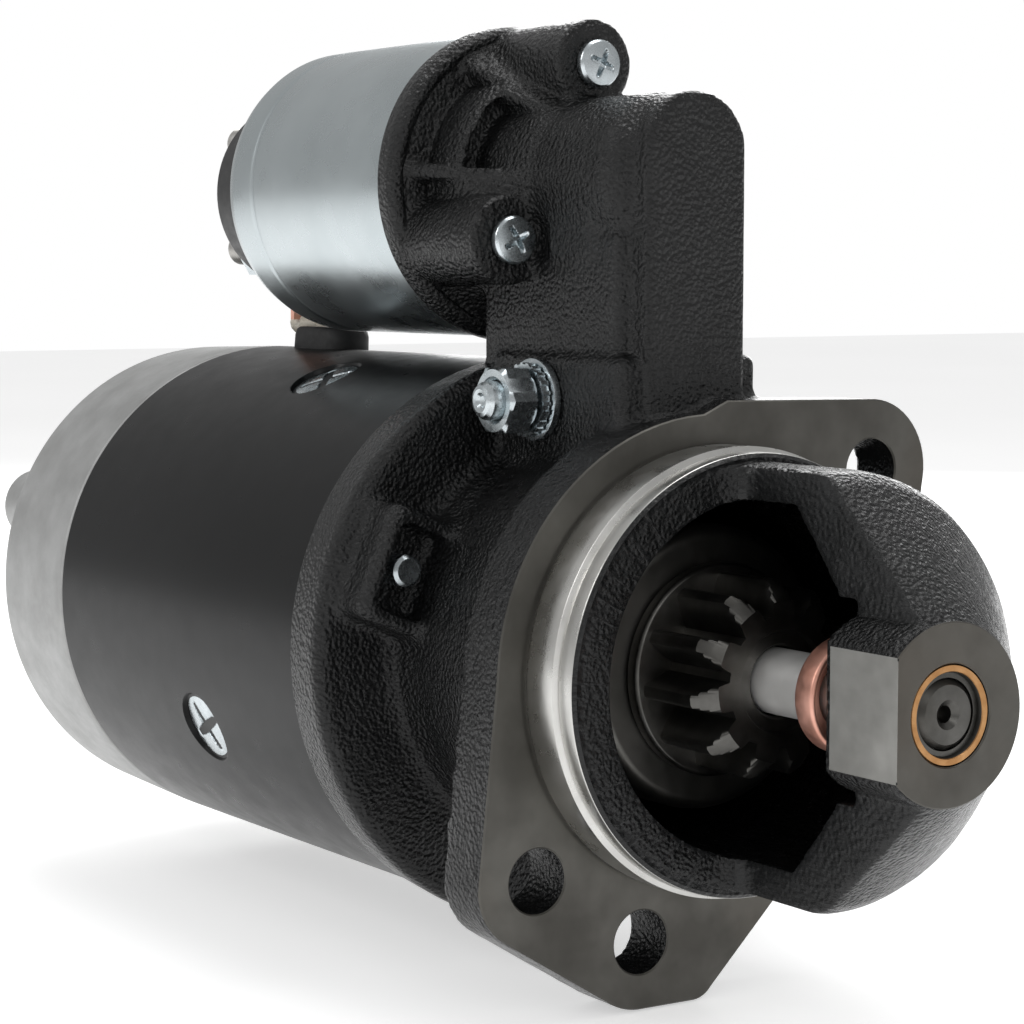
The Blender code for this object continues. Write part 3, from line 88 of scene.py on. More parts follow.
def softened(profile, radius=0.4, steps=3, closed=True):
    """Each corner of a profile becomes a quadratic curve that starts and ends a radius away from
    it, or at most 0.45 of its shorter side away. Corners on the axis stay sharp."""
    count = len(profile)
    out = []
    for i, corner in enumerate(profile):
        corner = np.array(corner[:2], float)
        before = np.array(profile[i - 1][:2], float)
        after = np.array(profile[(i + 1) % count][:2], float)
        ends = not closed and i in (0, count - 1)
        if ends or corner[1] < 1e-6:
            out.append(tuple(corner))
            continue
        a, b = before - corner, after - corner
        la, lb = np.hypot(*a), np.hypot(*b)
        reach = min(radius, 0.45 * la, 0.45 * lb)
        p, q = corner + a / la * reach, corner + b / lb * reach
        for t in np.linspace(0, 1, steps + 1):
            out.append(tuple((1 - t) ** 2 * p + 2 * t * (1 - t) * corner + t * t * q))
    return out


def turned(profile, angles=ROUND, limit=None, dip=None, flip=False):
    """A profile of (x, radius) carried round the X axis: point = (x, r cos a, r sin a).
    Where limit is given, r is the smaller of the profile's radius and limit(a), which turns a
    round blank into a hexagon or a gear. Where dip is given, x becomes x + dip(r, a).
    A profile that starts and ends on the axis closes there; any other closes on itself."""
    p = np.array(profile, float)
    on_axis = p[0, 1] < 1e-6 and p[-1, 1] < 1e-6
    a = np.linspace(0, 2 * pi, angles, endpoint=False) if np.isscalar(angles) else np.asarray(angles)
    n = len(a)
    ring = p[1:-1] if on_axis else p
    r = np.repeat(ring[:, 1:2], n, axis=1)
    if limit is not None:
        r = np.minimum(r, limit(a)[None, :])
    x = np.repeat(ring[:, 0:1], n, axis=1)
    if dip is not None:
        x = x + dip(r, a[None, :])
    points = np.stack([x, r * np.cos(a), r * np.sin(a)], axis=-1).reshape(-1, 3)
    m = len(ring)
    rows = np.arange(m if not on_axis else m - 1)
    i, j = np.meshgrid(rows, np.arange(n), indexing="ij")
    k, l = (i + 1) % m, (j + 1) % n
    quads = np.stack([i * n + j, i * n + l, k * n + l, k * n + j], axis=-1).reshape(-1, 4)
    faces = [tuple(q) for q in quads.tolist()]
    if on_axis:
        first, last = len(points), len(points) + 1
        tip = dip(np.zeros((1, 1)), np.zeros((1, 1)))[0, 0] if dip is not None else 0.0
        points = np.vstack([points, [p[0, 0] + tip, 0, 0], [p[-1, 0] + tip * 0, 0, 0]])
        around = np.arange(n)
        nxt = (around + 1) % n
        faces += [(first, int(v), int(u)) for u, v in zip(around, nxt)]
        end = (m - 1) * n
        faces += [(last, int(end + u), int(end + v)) for u, v in zip(around, nxt)]
    area = np.sum(p[:, 0] * np.roll(p[:, 1], -1) - np.roll(p[:, 0], -1) * p[:, 1])
    if area > 0:
        faces = [f[::-1] for f in faces]
    return points, faces


def placed(points, x=0.0, y=0.0, z=0.0, turn=0.0, way="x"):
    """Points turned about X by an angle in degrees, then laid along Y for way 'y' (+X becomes +Y), then moved."""
    p = np.array(points, float)
    c, s = np.cos(radians(turn)), np.sin(radians(turn))
    p = np.stack([p[:, 0], p[:, 1] * c - p[:, 2] * s, p[:, 1] * s + p[:, 2] * c], axis=1)
    if way == "y":
        p = np.stack([-p[:, 1], p[:, 0], p[:, 2]], axis=1)
    return p + np.array([x, y, z])


def on_radius(points, angle, x):
    """Points made along X stand on a radius of the motor: +X goes outwards at an angle in degrees from +Y."""
    p = np.stack([-points[:, 1], points[:, 0], points[:, 2]], axis=1)
    c, s = np.cos(radians(angle)), np.sin(radians(angle))
    return np.stack([p[:, 0] + x, p[:, 1] * c - p[:, 2] * s, p[:, 1] * s + p[:, 2] * c], axis=1)


def joined(*meshes):
    """Several (points, faces) as one."""
    points, faces, start = [], [], 0
    for p, f in meshes:
        points.append(np.asarray(p, float))
        faces += [tuple(int(i) + start for i in face) for face in f]
        start += len(p)
    return np.vstack(points), faces


def hexagonal(across):
    """Radius of a hexagon with that width across its flats, at each angle."""
    return lambda a: across / 2 / np.cos((a % (pi / 3)) - pi / 6)


# ------------------------------------------------------------------ shapes from a distance field
def flat_distance(u, v, outline):
    """Signed distance from each (u, v) to a closed outline: the least distance to any side, negative
    inside, where a point is inside if a line from it crosses the outline an odd number of times."""
    best = np.full(u.shape, 1e9)
    inside = np.zeros(u.shape, bool)
    for (ax, ay), (bx, by) in zip(outline, outline[1:] + outline[:1]):
        ex, ey = bx - ax, by - ay
        t = np.clip(((u - ax) * ex + (v - ay) * ey) / (ex * ex + ey * ey), 0, 1)
        best = np.minimum(best, np.hypot(u - ax - t * ex, v - ay - t * ey))
        crosses = (ay > v) != (by > v)
        with np.errstate(divide="ignore", invalid="ignore"):
            at = ax + (v - ay) * ex / (ey if ey else 1e-12)
        inside ^= crosses & (u < at)
    return np.where(inside, -best, best)


def melt(a, b, k):
    """Union of two fields with a fillet about k wide: the smaller, less (k - |a - b|)^2 / 4k where they are close."""
    h = np.maximum(k - np.abs(a - b), 0)
    return np.minimum(a, b) - h * h / (4 * k)


def carve(a, b, k):
    """Field a with b taken out, its edge rounded about k wide."""
    return -melt(-a, b, k)


def block(p, low, high, r=1.0):
    """Signed distance to a box with edges of radius r."""
    low, high = np.array(low, float), np.array(high, float)
    q = [np.abs(p[i] - (low[i] + high[i]) / 2) - (high[i] - low[i]) / 2 + r for i in range(3)]
    out = np.sqrt(sum(np.maximum(x, 0) ** 2 for x in q))
    return out + np.minimum(np.maximum(np.maximum(q[0], q[1]), q[2]), 0) - r


def drum(rho, x, radius, x0, x1, r=1.0):
    """Signed distance to a cylinder along X with rounded ends; rho is the distance from its axis."""
    a = rho - radius + r
    b = np.abs(x - (x0 + x1) / 2) - (x1 - x0) / 2 + r
    return np.hypot(np.maximum(a, 0), np.maximum(b, 0)) + np.minimum(np.maximum(a, b), 0) - r


def spun(rho, x, outline, step=0.35):
    """Signed distance to a turned outline of (x, radius): worked out on a flat table and looked up."""
    xs = np.arange(x.min() - 1, x.max() + 1 + step, step)
    rs = np.arange(0, rho.max() + 1 + step, step)
    table = flat_distance(*np.meshgrid(xs, rs, indexing="ij"), outline).astype(np.float32)
    i, j = (x - xs[0]) / step, rho / step
    i, j = np.broadcast_arrays(i, j)
    i0, j0 = i.astype(np.int32), j.astype(np.int32)
    fi, fj = (i - i0).astype(np.float32), (j - j0).astype(np.float32)
    near = table[i0, j0] * (1 - fj) + table[i0, j0 + 1] * fj
    far = table[i0 + 1, j0] * (1 - fj) + table[i0 + 1, j0 + 1] * fj
    return near * (1 - fi) + far * fi


def skin(field, low, step):
    """The zero surface of a field on a grid. Every cell that the surface passes through gets one
    point, the mean of where its edges cross zero, and every grid edge that crosses zero gets a
    quad of its four cells' points."""
    inside = field < 0
    nx, ny, nz = field.shape
    total = np.zeros((nx - 1, ny - 1, nz - 1, 3), np.float32)
    count = np.zeros((nx - 1, ny - 1, nz - 1), np.float32)
    corner = np.stack(np.meshgrid([0, 1], [0, 1], indexing="ij"), -1).reshape(-1, 2)
    crossings = []
    for axis in range(3):
        a = [slice(None)] * 3
        b = [slice(None)] * 3
        a[axis], b[axis] = slice(0, -1), slice(1, None)
        f0, f1 = field[tuple(a)], field[tuple(b)]
        cross = np.argwhere(inside[tuple(a)] != inside[tuple(b)])
        v0, v1 = f0[tuple(cross.T)], f1[tuple(cross.T)]
        place = cross.astype(np.float32)
        place[:, axis] += v0 / (v0 - v1)
        others = [i for i in range(3) if i != axis]
        crossings.append((axis, others, cross, v0 < 0))
        for da, db in corner:
            cell = cross.copy()
            cell[:, others[0]] -= da
            cell[:, others[1]] -= db
            ok = (cell >= 0).all(1) & (cell < np.array(count.shape)).all(1)
            at = tuple(cell[ok].T)
            np.add.at(total, at, place[ok])
            np.add.at(count, at, 1.0)
    used = count > 0
    index = np.full(count.shape, -1, np.int64)
    index[used] = np.arange(int(used.sum()))
    points = total[used] / count[used][:, None]
    quads = []
    for axis, others, cross, starts_inside in crossings:
        ring = []
        for da, db in ((0, 0), (1, 0), (1, 1), (0, 1)):
            cell = cross.copy()
            cell[:, others[0]] -= da
            cell[:, others[1]] -= db
            cell = np.clip(cell, 0, np.array(count.shape) - 1)
            ring.append(index[tuple(cell.T)])
        quad = np.stack(ring, axis=1)
        turn = starts_inside if axis != 1 else ~starts_inside
        quads.append(np.where(turn[:, None], quad, quad[:, ::-1]))
    quads = np.vstack(quads)
    quads = quads[(quads >= 0).all(1)]
    return points * step + low, quads


def ripple(p, scale, seed):
    """Smooth unevenness between -1 and 1: six sine waves in fixed directions, added up."""
    draw = np.random.default_rng(seed)
    total = 0
    for _ in range(6):
        d = draw.normal(size=3)
        d /= np.linalg.norm(d) * scale
        total = total + np.sin(p[0] * d[0] + p[1] * d[1] + p[2] * d[2] + draw.uniform(0, 6.3))
    return total / 6


# ------------------------------------------------------------------ finishes
def finish(name, dark, light, metallic, rough, patch=60.0, grain=(1500.0, 0.2, 0.1), stretch=(1, 1, 1),
           pits=None, coat=0.0, grime=None, spots=None, gloss=0.5):
    """A Principled finish on Object coordinates. Colour runs from dark to light with broad noise,
    roughness runs between its two values with finer noise, and grain (scale per metre, strength,
    height in millimetres) raises the surface, stretched along an axis for brushed or turned marks.
    pits adds rounded sand grains (scale, strength, height). grime adds a second colour in broad
    patches (colour, share). spots adds small glossy dots (scale, roughness)."""
    made = bpy.data.materials.new(name)
    made.use_nodes = True
    nodes, links = made.node_tree.nodes, made.node_tree.links
    shader = nodes["Principled BSDF"]
    where = nodes.new("ShaderNodeTexCoord").outputs["Object"]

    def noise(scale, detail=4.0, roughness=0.55, along=where):
        node = nodes.new("ShaderNodeTexNoise")
        node.inputs["Scale"].default_value = scale
        node.inputs["Detail"].default_value = detail
        node.inputs["Roughness"].default_value = roughness
        links.new(along, node.inputs["Vector"])
        return node.outputs["Fac"]

    def ramp(source, low, high, first, last):
        node = nodes.new("ShaderNodeMapRange")
        node.inputs["From Min"].default_value = low
        node.inputs["From Max"].default_value = high
        node.inputs["To Min"].default_value = first
        node.inputs["To Max"].default_value = last
        links.new(source, node.inputs["Value"])
        return node.outputs["Result"]

    def mixed(share, first, second):
        node = nodes.new("ShaderNodeMix")
        node.data_type = "RGBA"
        links.new(share, node.inputs["Factor"])
        for socket, value in ((node.inputs[6], first), (node.inputs[7], second)):
            if isinstance(value, tuple):
                socket.default_value = (*value, 1.0)
            else:
                links.new(value, socket)
        return node.outputs[2]

    colour = mixed(ramp(noise(patch), 0.35, 0.65, 0.0, 1.0), dark, light)
    if grime:
        colour = mixed(ramp(noise(patch * 0.45, 3.0), 0.62 - 0.2 * grime[1], 0.72, 0.0, grime[1]), colour, grime[0])
    links.new(colour, shader.inputs["Base Color"])
    shader.inputs["Metallic"].default_value = metallic
    shader.inputs["Specular IOR Level"].default_value = gloss
    shine = ramp(noise(patch * 5.0), 0.3, 0.7, rough[0], rough[1])
    if spots:
        dots = nodes.new("ShaderNodeTexVoronoi")
        dots.inputs["Scale"].default_value = spots[0]
        links.new(where, dots.inputs["Vector"])
        dot = ramp(dots.outputs["Distance"], 0.12, 0.30, 1.0, 0.0)
        node = nodes.new("ShaderNodeMix")
        links.new(dot, node.inputs[0])
        links.new(shine, node.inputs[2])
        node.inputs[3].default_value = spots[1]
        shine = node.outputs[0]
    links.new(shine, shader.inputs["Roughness"])
    if coat:
        shader.inputs["Coat Weight"].default_value = coat
        shader.inputs["Coat Roughness"].default_value = 0.12
    scaled = nodes.new("ShaderNodeMapping")
    scaled.inputs["Scale"].default_value = stretch
    links.new(where, scaled.inputs["Vector"])
    bump = nodes.new("ShaderNodeBump")
    bump.inputs["Strength"].default_value = grain[1]
    bump.inputs["Distance"].default_value = grain[2] * MM
    links.new(noise(grain[0], 6.0, 0.6, scaled.outputs["Vector"]), bump.inputs["Height"])
    if pits:
        sand = nodes.new("ShaderNodeTexVoronoi")
        sand.feature = "SMOOTH_F1"
        sand.inputs["Scale"].default_value = pits[0]
        links.new(where, sand.inputs["Vector"])
        second = nodes.new("ShaderNodeBump")
        second.invert = True
        second.inputs["Strength"].default_value = pits[1]
        second.inputs["Distance"].default_value = pits[2] * MM
        links.new(sand.outputs["Distance"], second.inputs["Height"])
        links.new(bump.outputs["Normal"], second.inputs["Normal"])
        bump = second
    links.new(bump.outputs["Normal"], shader.inputs["Normal"])
    return made


CAST = finish("rough_black_casting", (0.0050, 0.0052, 0.0054), (0.0095, 0.0098, 0.010), 0.0, (0.13, 0.30), 70.0,
              (2300.0, 0.7, 0.28), pits=(1250.0, 1.0, 0.50), spots=(1600.0, 0.12), gloss=0.32)
CUT_CAST = finish("sawn_black_casting", (0.0055, 0.0058, 0.006), (0.012, 0.0124, 0.0128), 0.0, (0.15, 0.32), 90.0,
                  (700.0, 0.7, 0.34), stretch=(0.5, 1.0, 1.8), pits=(900.0, 0.6, 0.32), spots=(1500.0, 0.14), gloss=0.35)
MACHINED = finish("machined_iron", (0.070, 0.067, 0.060), (0.115, 0.111, 0.101), 0.85, (0.36, 0.50), 45.0,
                  (1300.0, 0.22, 0.05), grime=((0.070, 0.057, 0.044), 0.45))
MILLED = finish("milled_iron", (0.21, 0.208, 0.196), (0.29, 0.287, 0.272), 0.9, (0.34, 0.46), 60.0,
                (1500.0, 0.35, 0.06), stretch=(0.08, 1.0, 1.0))
TURNED_BAND = finish("turned_band", (0.55, 0.545, 0.525), (0.74, 0.735, 0.71), 1.0, (0.24, 0.36), 40.0,
                     (1900.0, 0.35, 0.04), stretch=(1.0, 0.05, 0.05), grime=((0.30, 0.285, 0.26), 0.4))
YOKE_PAINT = finish("satin_black_paint", (0.0032, 0.0034, 0.0036), (0.0052, 0.0054, 0.0057), 0.0, (0.27, 0.34), 30.0,
                    (1600.0, 0.10, 0.05), grime=((0.0080, 0.0080, 0.0084), 0.25), gloss=0.19)
ALUMINIUM = finish("cast_aluminium", (0.36, 0.362, 0.358), (0.44, 0.443, 0.44), 0.7, (0.50, 0.62), 90.0,
                   (1800.0, 0.35, 0.10), pits=(1200.0, 0.2, 0.07), grime=((0.31, 0.305, 0.295), 0.25))
ZINC_CAN = finish("zinc_can", (0.47, 0.52, 0.535), (0.56, 0.61, 0.625), 1.0, (0.24, 0.34), 18.0,
                  (1200.0, 0.12, 0.05), stretch=(1.6, 0.5, 0.5), grime=((0.45, 0.50, 0.52), 0.4))
ZINC = finish("zinc_hardware", (0.50, 0.55, 0.57), (0.66, 0.71, 0.735), 1.0, (0.20, 0.32), 160.0,
              (2200.0, 0.20, 0.04), grime=((0.38, 0.41, 0.43), 0.4))
STEEL = finish("ground_steel", (0.66, 0.655, 0.64), (0.80, 0.795, 0.78), 0.7, (0.34, 0.46), 60.0,
               (2600.0, 0.30, 0.03), stretch=(1.0, 0.08, 0.08))
GEAR_STEEL = finish("oiled_gear_steel", (0.075, 0.073, 0.068), (0.125, 0.122, 0.115), 1.0, (0.30, 0.42), 110.0,
                    (1900.0, 0.30, 0.05), grime=((0.05, 0.045, 0.036), 0.4))
CLUTCH_STEEL = finish("drawn_shell_steel", (0.11, 0.108, 0.10), (0.165, 0.16, 0.15), 1.0, (0.36, 0.48), 60.0,
                      (1500.0, 0.2, 0.05), stretch=(1.0, 0.1, 0.1))
COPPER = finish("copper_plate", (0.66, 0.33, 0.25), (0.80, 0.45, 0.36), 1.0, (0.34, 0.48), 130.0,
                (1800.0, 0.3, 0.05), stretch=(1.0, 0.2, 0.2))
TINNED = finish("tinned_stud", (0.42, 0.41, 0.39), (0.56, 0.55, 0.53), 1.0, (0.30, 0.42), 150.0,
                (2000.0, 0.3, 0.04), grime=((0.40, 0.30, 0.24), 0.3))
BRONZE = finish("sintered_bronze", (0.36, 0.18, 0.07), (0.52, 0.29, 0.13), 1.0, (0.32, 0.46), 200.0,
                (3000.0, 0.3, 0.04))
LAMINATED = finish("stacked_sheet", (0.16, 0.155, 0.145), (0.23, 0.22, 0.21), 0.9, (0.40, 0.55), 80.0,
                   (1900.0, 0.5, 0.08), stretch=(1.0, 0.03, 0.03))
WINDING = finish("varnished_copper_wire", (0.20, 0.065, 0.02), (0.34, 0.13, 0.05), 0.4, (0.25, 0.42), 150.0,
                 (900.0, 0.7, 0.25), stretch=(0.2, 1.0, 1.0), coat=0.4)
CARBON = finish("pressed_carbon", (0.030, 0.029, 0.028), (0.055, 0.053, 0.051), 0.3, (0.45, 0.6), 200.0,
                (3000.0, 0.3, 0.05))
MOULDED = finish("moulded_plastic", (0.010, 0.010, 0.0105), (0.017, 0.017, 0.0175), 0.0, (0.36, 0.5), 80.0,
                 (2600.0, 0.25, 0.05))
RUBBER = finish("soft_rubber", (0.0075, 0.0075, 0.0078), (0.014, 0.014, 0.0145), 0.0, (0.55, 0.7), 120.0,
                (2200.0, 0.3, 0.06))
SLEEVE = finish("woven_sleeve", (0.52, 0.47, 0.38), (0.70, 0.66, 0.58), 0.0, (0.75, 0.9), 300.0,
                (1400.0, 0.8, 0.3), stretch=(1.0, 1.0, 1.0), pits=(1100.0, 0.6, 0.3))


# ------------------------------------------------------------------ drive-end housing
FLANGE_HOLES = ((-41.2, -38.0), (-16.6, -53.2), (41.3, 37.6))
LUG_ANGLES = (90.0, 210.0, 330.0)
LUG_PITCH = 24.2


def arc(centre, radius, start, end, steps):
    """Points on an arc between two angles in degrees."""
    a = np.radians(np.linspace(start, end, steps + 1))
    return list(zip(centre[0] + radius * np.cos(a), centre[1] + radius * np.sin(a)))


def flange_outline():
    """Ears round the bolt holes joined by the round body and straight edges, as (y, z)."""
    low, bottom, top = FLANGE_HOLES
    return (
        arc((0, 0), 50.3, 92, 178, 20) + arc(low, 13.4, 184, 234, 8) + arc(bottom, 13.5, 240, 268, 6)
        + arc((bottom[0] + 13.1, bottom[1] - 8.1), 5.5, 270, 322, 6) + arc((0, 0), 50.0, -66, -12, 14)
        + arc(top, 14.5, -8, 86, 14) + [(4.0, 52.8)]
    )


def housing_field(step):
    """The casting: a turned body, the flange, the fork's tower and the solenoid's seat melted
    together, less the bore, the window, the bolt pockets and the well for the fork."""
    low = np.array([-75.0, -65.0, -70.0])
    high = np.array([72.0, 65.0, 133.0])
    axes = [np.arange(a, b, step) for a, b in zip(low, high)]
    x, y, z = (v.astype(np.float32) for v in np.meshgrid(*axes, indexing="ij", sparse=True))
    p = (x, y, z)
    rho = np.sqrt(y * y + z * z)
    sol = np.sqrt(y * y + (z - SOLENOID_Z) ** 2)

    # the turned body, from the boss at the nose back to the spigot in the yoke
    nose = [(-20.0, 0), (69.2, 0), (69.2, 16.3), (43.6, 39.6), (40.5, 41.4), (37.5, 41.8), (14.4, 41.8), (14.4, 42.6),
            (-20.0, 42.6)]
    rear = [(-6.0, 0), (-6.0, 45.6), (-30.0, 43.4), (-50.0, 41.2), (-50.0, 59.4), (-51.2, 60.6), (-61.0, 60.0),
            (-63.0, 59.2), (-63.0, 53.0), (-67.3, 53.0), (-67.3, 0)]
    body = melt(spun(rho, x, rear), drum(rho, x, 41.0, -56.0, -48.0, 1.0), 7.0)
    flange = np.maximum(flat_distance(*np.meshgrid(axes[1], axes[2], indexing="ij"), flange_outline())[None],
                        np.abs(x + 6.6) - 6.2)
    body = melt(body, flange, 4.0)

    # the fork's tower and the snout over the plunger
    tower = melt(block(p, (-60, -15, 48), (-10.5, 15, 86), 2.2), block(p, (-60, -15, 80), (-19, 15, 98), 2.2), 2.0)
    slab = np.maximum(np.maximum(np.abs(y) - 12.5, np.abs(x + 13.0) - 8.0), -z + 46)
    crown = np.sqrt(y * y + np.maximum(z - 101.2, 0) ** 2) - 12.5
    slab = -melt(-np.maximum(slab, z - 114), -crown, 1.2)
    base = block(p, (-54, -17, 30), (-7, 17, 61.5), 2.2)
    snout = drum(sol, x, 17.2, -64, -9.0, 6.0)
    body = melt(body, base, 2.5)
    body = melt(body, tower, 1.6)
    body = melt(body, snout, 2.4)
    body = melt(body, slab, 1.5)

    # the solenoid's seat: a rim and a cone, lightened by curved pockets with webs between them
    angle = np.degrees(np.arctan2(z - SOLENOID_Z, np.abs(y)))
    cone = np.maximum(np.abs(x + 56) - 16, (sol - (29.5 + (x + 66) * (17.6 - 29.5) / 25.0)) * 0.9)
    seat = melt(drum(sol, x, 33.2, -72.0, -66.4, 1.2), cone, 2.0)
    for r0, r1, a0, a1, floor in (
        (24.6, 30.6, 9.0, 57.0, -66.5), (24.0, 30.2, -18.0, 1.0, -66.0), (18.0, 22.9, 8.0, 52.0, -58.0)
    ):
        turn = (np.abs(angle - (a0 + a1) / 2) - (a1 - a0) / 2) * np.pi / 180 * sol
        pocket = np.maximum(np.maximum(np.abs(sol - (r0 + r1) / 2) - (r1 - r0) / 2, turn), floor - x)
        seat = carve(seat, pocket, 1.6)
    for at in LUG_ANGLES:
        cy, cz = LUG_PITCH * np.cos(radians(at)), SOLENOID_Z + LUG_PITCH * np.sin(radians(at))
        lug = drum(np.sqrt((y - cy) ** 2 + (z - cz) ** 2), x, 9.2, -70, -40, 0.5)
        seat = melt(seat, lug, 1.2)
    body = melt(body, seat, 2.2)
    for at in LUG_ANGLES:
        cy, cz = LUG_PITCH * np.cos(radians(at)), SOLENOID_Z + LUG_PITCH * np.sin(radians(at))
        spot = drum(np.sqrt((y - cy) ** 2 + (z - cz) ** 2), x, 7.2, -39.9, -35.0, 0.4)
        body = carve(body, spot, 0.4)

    # raised walls round the ends of the two through bolts
    for at in (158.0, 338.0):
        c, s = np.cos(radians(at)), np.sin(radians(at))
        u, v = y * c + z * s, -y * s + z * c
        boss = block((x, u, v), (-54, 36.5, -12.3), (-40, 56.6, 12.3), 3.2)
        body = melt(body, boss, 3.0)
        body = carve(body, block((x, u, v), (-47, 41.6, -9.2), (-30, 53.6, 9.2), 2.5), 1.0)

    # uneven as cast
    cast = ripple(p, 2.2, 3) * 0.05 + ripple(p, 6.0, 5) * 0.12 + ripple(p, 0.8, 9) * 0.05
    body = body + np.clip(-0.4 - x, 0, 1) * cast
    body = np.maximum(np.maximum(body, z - 130.4), -66.6 - z)

    # the nose melts on after, so that its turned bands stay true
    front = spun(rho, x, nose)
    front = front + np.clip(x - 15.6, 0, 1) * (ripple(p, 3.0, 11) * 0.07 + ripple(p, 0.8, 12) * 0.05 + 0.1)
    body = np.minimum(body, front)

    # bores
    inner = [(-80, 0), (-80, 49.2), (-56, 49.2), (-56, 36.0), (-4.0, 36.0), (-2.0, 35.0), (32.0, 35.0), (44.3, 20.4),
             (44.3, 19.5), (49.8, 19.5), (49.8, 9.3), (80, 9.3), (80, 0)]
    body = np.maximum(body, -spun(rho, x, inner))

    # the window: the ring's face behind it, the long face beside it, a fillet between them
    cx, cy = 15.0 + 6.0, -5.0 - 6.0
    corner = np.maximum(15.0 - x, y + 5.0)
    fillet = np.where((x < cx) & (y > cy), np.hypot(x - cx, y - cy) - 6.0, corner)
    window = np.maximum(fillet, -drum(rho, x, 17.1, 49.8, 90.0, 0.1))
    body = carve(body, window, 0.5)
    sawn = ripple(p, 1.6, 21) * 0.10 + ripple(p, 4.0, 22) * 0.12
    body = np.where((y < -3.5) & (x > 13) & (x < 68), body + sawn * 0.6, body)
    body = carve(body, np.maximum(y + 12.2, 49.0 - x), 0.3)

    # the fork's well, the plunger's bore and the flange's holes
    well = block(p, (-52.3, -12.2, 0), (-14.7, 12.2, SOLENOID_Z), 1.0)
    bore = np.minimum(drum(sol, x, 14.6, -80, -46.0, 0.2), drum(sol, x, 13.6, -50, -22.0, 0.2))
    body = np.maximum(body, -np.minimum(well, bore))
    for hy, hz in FLANGE_HOLES:
        hole = np.maximum(np.sqrt((y - hy) ** 2 + (z - hz) ** 2) - 6.4, np.abs(x + 6) - 25)
        body = carve(body, hole, 0.4)
    return body.astype(np.float32), low, step


def drive_end_housing():
    step = 0.9
    field, low, step = housing_field(step)
    points, quads = skin(field, low, step)
    print("housing", len(points), len(quads))
    made = piece("drive_end_housing_casting", points, quads, [CAST, CUT_CAST],
                 "motor", ("drive_end_housing",), "black_casting", 40.0)
    if len(quads) > 95000:
        thin = made.modifiers.new("thin", "DECIMATE")
        thin.ratio = 95000 / len(quads)
        graph = bpy.context.evaluated_depsgraph_get()
        mesh = bpy.data.meshes.new_from_object(made.evaluated_get(graph))
        made.modifiers.clear()
        made.data = mesh
    kinds(made, lambda c, n: ((c[:, 0] > 15.2) & (c[:, 1] > -6.5) & (c[:, 1] < -4.0) & (n[:, 1] < -0.6)).astype(int))
    return made


def inset(outline, by):
    """A counter-clockwise outline moved inwards: each corner along the mean of its two sides' normals."""
    o = np.array(outline, float)
    side = np.roll(o, -1, axis=0) - o
    normal = np.stack([-side[:, 1], side[:, 0]], 1) / np.maximum(np.linalg.norm(side, axis=1), 1e-9)[:, None]
    mean = normal + np.roll(normal, 1, axis=0)
    return o + by * mean / np.maximum((mean * mean).sum(1), 0.5)[:, None] * 2


def flange_plate():
    """The flange's milled front: its outline and its holes at three depths, a chamfer between the
    first two, closed at the front and the back by triangles between the outline and the holes."""
    circle = np.linspace(0, 2 * pi, 72, endpoint=False)
    loops = [(np.array(flange_outline(), float), 1)]
    loops += [(np.stack([hy + 6.4 * np.cos(-circle), hz + 6.4 * np.sin(-circle)], 1), 1) for hy, hz in FLANGE_HOLES]
    loops += [(np.stack([43.3 * np.cos(-circle), 43.3 * np.sin(-circle)], 1), 0)]
    points, faces, fronts, backs = [], [], [], []
    start = 0
    for outline, chamfer in loops:
        n = len(outline)
        for x, by in ((0.0, 0.3 * chamfer), (-0.3, 0.0), (-2.2, 0.0)):
            loop = inset(outline, by)
            points.append(np.column_stack([np.full(n, x), loop]))
        fronts.append(np.arange(start, start + n))
        backs.append(np.arange(start + 2 * n, start + 3 * n))
        j = np.arange(n)
        k = (j + 1) % n
        for row in (0, 1):
            faces += np.stack([start + (row + 1) * n + j, start + (row + 1) * n + k, start + row * n + k,
                               start + row * n + j], 1).tolist()
        start += 3 * n
    points = np.vstack(points)
    for group, facing in ((fronts, 1), (backs, -1)):
        order = np.concatenate(group)
        for tri in tessellate_polygon([[Vector((points[i][1], points[i][2], 0)) for i in loop] for loop in group]):
            a, b, c = (points[order[i]][1:] for i in tri)
            ccw = (b[0] - a[0]) * (c[1] - a[1]) - (b[1] - a[1]) * (c[0] - a[0]) > 0
            tri = [int(order[i]) for i in tri]
            faces.append(tri if ccw == (facing > 0) else tri[::-1])
    made = piece("flange_front", points, faces, [CAST, MACHINED], "motor", (), "black_casting", 25)
    kinds(made, lambda c, n: ((n[:, 0] > 0.5) & (c[:, 0] > -0.4)).astype(int))


def kinds(made, choose):
    """Gives each face the finish that choose returns for its centre, in millimetres, and its normal."""
    count = len(made.data.polygons)
    centre, normal = np.empty(count * 3), np.empty(count * 3)
    made.data.polygons.foreach_get("center", centre)
    made.data.polygons.foreach_get("normal", normal)
    kind = choose(centre.reshape(-1, 3) / MM, normal.reshape(-1, 3))
    made.data.polygons.foreach_set("material_index", kind.astype(np.int32))


